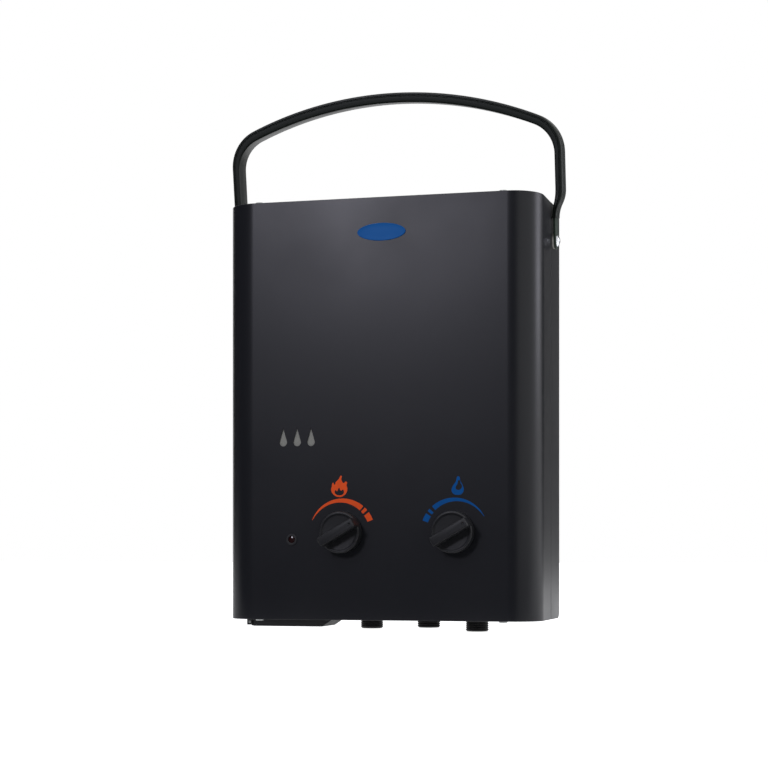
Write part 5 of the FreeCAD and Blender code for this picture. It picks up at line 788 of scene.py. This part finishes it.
for low, high in zip(badge_loops, badge_loops[1:]):
    for i in range(BADGE_STEPS):
        j = (i + 1) % BADGE_STEPS
        badge.faces.new((low[i], low[j], high[j], high[i]))
badge.faces.new(badge_loops[0])
badge.faces.new(badge_loops[-1])
bmesh.ops.recalc_face_normals(badge, faces=badge.faces)
badge_mesh = bpy.data.meshes.new("badge_plate")
badge.to_mesh(badge_mesh)
badge.free()
badge_mesh.shade_smooth()
badge_mesh.set_sharp_from_angle(angle=math.radians(50))
placed("badge_plate", badge_mesh, "casing", "badge_blue", badge_blue, "badge")

# Indicator lamp: a black bezel pressed into the cover round a small domed dark red lens.
placed("indicator_bezel_ring", eased(nodes["indicator_bezel"].data, 0.45 * MM), "casing",
       "knob_plastic", knob_plastic, "indicator_bezel")
lamp_red = finish_of("lamp_red", (38, 7, 8), (28, 4, 6), (0.1, 0.2), size=200, fineness=900,
                     relief=0.02, depth=0.00004, Coat_Weight=0.6)
LENS, LENS_X, LENS_Z = 3.1, -79.8 * MM, -268.2 * MM
lens_profile = [(0, -7), (LENS, -7), (LENS, 0.1)] + \
    [(LENS * math.cos(a), 0.1 + 0.55 * math.sin(a)) for a in (0.35, 0.7, 1.05, 1.35)] + [(0, 0.65)]
lens_mesh = lathe([(r * MM, h * MM) for r, h in lens_profile], 40)
lens_mesh.transform(Matrix.Translation((LENS_X, CASE_FRONT, LENS_Z))
                    @ Matrix.Rotation(math.pi / 2, 4, "X"))
placed("indicator_dome", lens_mesh, "casing", "lamp_lens", lamp_red, "indicator_lens")

# Pipe stubs: three black half inch nipples with parallel threads, rounded at their ends; a
# collar above the bottom plate carries each one.
stub_black = finish_of("stub_black", (30, 30, 32), (22, 22, 24), (0.34, 0.48), size=90,
                       fineness=1500, relief=0.15, depth=0.0001, Specular_IOR_Level=0.4)
THREAD, THREAD_DEPTH, THREAD_PITCH, BORE, BORE_TOP = 10.4775, 0.75, 1.814, 6.5, 7.9
COLLAR, COLLAR_TOP, NECK, NECK_TOP, NECK_BORE, STUB_ROW_Y = 14.0, 8, 8.0, 22, 5.0, -46
for name, across, drop in (("hot_outlet", -22.2, 9.3), ("gas_inlet", 31.6, 8.2),
                           ("cold_inlet", 76.7, 11.2)):
    turns = int((drop - 1.6) / THREAD_PITCH)
    profile = [(BORE, BORE_TOP), (BORE, -drop + 0.5), (BORE + 0.5, -drop), (THREAD - 1.7, -drop),
               (THREAD - 1.0, -drop + 0.25), (THREAD - THREAD_DEPTH, -drop + 0.9)]
    for k in range(turns):
        base = -drop + 0.9 + k * THREAD_PITCH
        profile += [(THREAD - 0.12, base + 0.62), (THREAD, base + 0.8), (THREAD - 0.12, base + 1.0),
                    (THREAD - THREAD_DEPTH, base + 1.6),
                    (THREAD - THREAD_DEPTH, base + THREAD_PITCH)]
    profile += [(THREAD - THREAD_DEPTH, -0.2), (THREAD, 0.2), (THREAD, 2), (COLLAR, 2),
                (COLLAR, COLLAR_TOP), (NECK, COLLAR_TOP), (NECK, NECK_TOP), (NECK_BORE, NECK_TOP),
                (NECK_BORE, BORE_TOP)]
    stub_mesh = lathe([(r * MM, CASE_BOTTOM + h * MM) for r, h in profile], 64, around=True)
    stub_mesh.transform(Matrix.Translation((across * MM, STUB_ROW_Y * MM, 0)))
    placed(name + "_nipple", stub_mesh, "casing", "stub_black", stub_black, name)

# Battery case and its door: black moulded trays under the left side, with ribs across the
# door's free end for a fingernail.
placed("battery_door_tray", eased(nodes["battery_door"].data, 0.5 * MM), "door",
       "knob_plastic", knob_plastic, "battery_door")
rib_tree = bpy.data.node_groups.new("ribs_in_a_row", "GeometryNodeTree")
for label, kind in (("Geometry", "NodeSocketGeometry"), ("Count", "NodeSocketInt"),
                    ("Start", DIRECTION), ("Step", DIRECTION), ("Finish", "NodeSocketMaterial")):
    rib_tree.interface.new_socket(name=label, in_out="INPUT", socket_type=kind)
rib_tree.interface.new_socket(name="Geometry", in_out="OUTPUT", socket_type="NodeSocketGeometry")
rib_nodes, rib_links = rib_tree.nodes, rib_tree.links
rib_in, rib_out = rib_nodes.new("NodeGroupInput"), rib_nodes.new("NodeGroupOutput")
row = rib_nodes.new("GeometryNodeMeshLine")
row.mode = "OFFSET"
on_row = rib_nodes.new("GeometryNodeInstanceOnPoints")
real_ribs = rib_nodes.new("GeometryNodeRealizeInstances")
rib_finish = rib_nodes.new("GeometryNodeSetMaterial")
for origin, target in (
        (rib_in.outputs["Count"], row.inputs["Count"]),
        (rib_in.outputs["Start"], row.inputs["Start Location"]),
        (rib_in.outputs["Step"], row.inputs["Offset"]),
        (row.outputs[0], on_row.inputs["Points"]),
        (rib_in.outputs["Geometry"], on_row.inputs["Instance"]),
        (on_row.outputs[0], real_ribs.inputs[0]), (real_ribs.outputs[0], rib_finish.inputs[0]),
        (rib_in.outputs["Finish"], rib_finish.inputs["Material"]),
        (rib_finish.outputs[0], rib_out.inputs[0])):
    rib_links.new(origin, target)
RIB_LONG, RIB_HIGH, RIB_HALF, RIB_STEP = 26 * MM, 0.45 * MM, 0.5 * MM, 2.2 * MM
rib = bmesh.new()
rib_ends = [[rib.verts.new((RIB_HALF * math.cos(a), y, -RIB_HIGH * math.sin(a)))
             for a in (0, 0.6, 1.2, 1.94, 2.54, math.pi)] for y in (-RIB_LONG / 2, RIB_LONG / 2)]
for i in range(6):
    j = (i + 1) % 6
    rib.faces.new((rib_ends[0][i], rib_ends[0][j], rib_ends[1][j], rib_ends[1][i]))
rib.faces.new(rib_ends[0])
rib.faces.new(rib_ends[1])
bmesh.ops.recalc_face_normals(rib, faces=rib.faces)
rib_mesh = bpy.data.meshes.new("rib")
rib.to_mesh(rib_mesh)
rib.free()
door_low, door_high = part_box("battery_door")
rib_mesh = grown(rib_tree, rib_mesh, Count=6,
                 Start=(-72 * MM, -72 * MM, door_low.z + 0.05 * MM), Step=(RIB_STEP, 0, 0),
                 Finish=knob_plastic)
rib_mesh.shade_smooth()
rib_mesh.set_sharp_from_angle(angle=math.radians(50))
placed("battery_door_ribs", rib_mesh, "door", "knob_plastic", knob_plastic)
placed("battery_case_tray", eased(nodes["battery_case"].data, 0.3 * MM), "casing", "nylon",
       stub_black, "battery_case")

# Burner, valves, exchanger, pipes and wiring: brass, cast aluminium, copper, plain steel and
# moulded parts that show through the vents and the windows.
inside = {
    "galvanised_steel": finish_of("galvanised_steel", (170, 174, 176), (140, 145, 148),
                                  (0.32, 0.5), size=70, fineness=600, relief=0.1,
                                  Metallic=1.0),
    "powder_coat": powder_coat, "zinc_screws": zinc, "chrome": chrome, "nylon": nylon,
    "coated_steel": coated_steel, "knob_plastic": knob_plastic, "handle_plastic": handle_plastic,
    "lamp_lens": lamp_red, "badge_blue": badge_blue, "stub_black": stub_black,
    "mica": finish_of("mica", (150, 150, 143), (122, 122, 115), (0.18, 0.34), size=130,
                      speckle=0.3, fineness=350, relief=0.25, depth=0.0002, Coat_Weight=0.3),
    "brass": finish_of("brass", (196, 160, 92), (172, 134, 70), (0.24, 0.4), size=110,
                       fineness=1800, stretch=(1, 1, 6), relief=0.08, Metallic=1.0),
    "cast_aluminium": finish_of("cast_aluminium", (158, 160, 162), (130, 132, 135), (0.4, 0.6),
                                size=90, fineness=900, relief=0.35, depth=0.0002, Metallic=1.0),
    "stainless_steel": finish_of("stainless_steel", (186, 186, 184), (166, 166, 165),
                                 (0.2, 0.34), size=60, fineness=1500, stretch=(8, 1, 1),
                                 relief=0.08, Metallic=1.0),
    "copper": finish_of("copper", (190, 112, 78), (150, 80, 56), (0.22, 0.42), size=50,
                        fineness=900, relief=0.08, Metallic=1.0),
    "rubber": finish_of("rubber", (26, 26, 26), (18, 18, 18), (0.6, 0.75), size=90,
                        fineness=1600, relief=0.3, depth=0.0002),
    "ceramic": finish_of("ceramic", (232, 228, 216), (220, 214, 200), (0.2, 0.32), size=90,
                         fineness=1200, relief=0.05, Coat_Weight=0.4),
    "lead_silicone": finish_of("lead_silicone", (168, 30, 24), (148, 24, 20), (0.45, 0.6),
                               size=90, fineness=1500, relief=0.15),
    "battery_can": finish_of("battery_can", (54, 92, 70), (46, 80, 60), (0.25, 0.38), size=90,
                             fineness=1400, relief=0.05, Metallic=0.3),
}
for node in nodes.values():
    slot_name = None
    if node.data.materials and node.data.materials[0]:
        slot_name = next((s for s in inside if s in node.data.materials[0].name), None)
    finish = inside.get(slot_name, inside["galvanised_steel"])
    node.data.materials.clear()
    node.data.materials.append(finish)
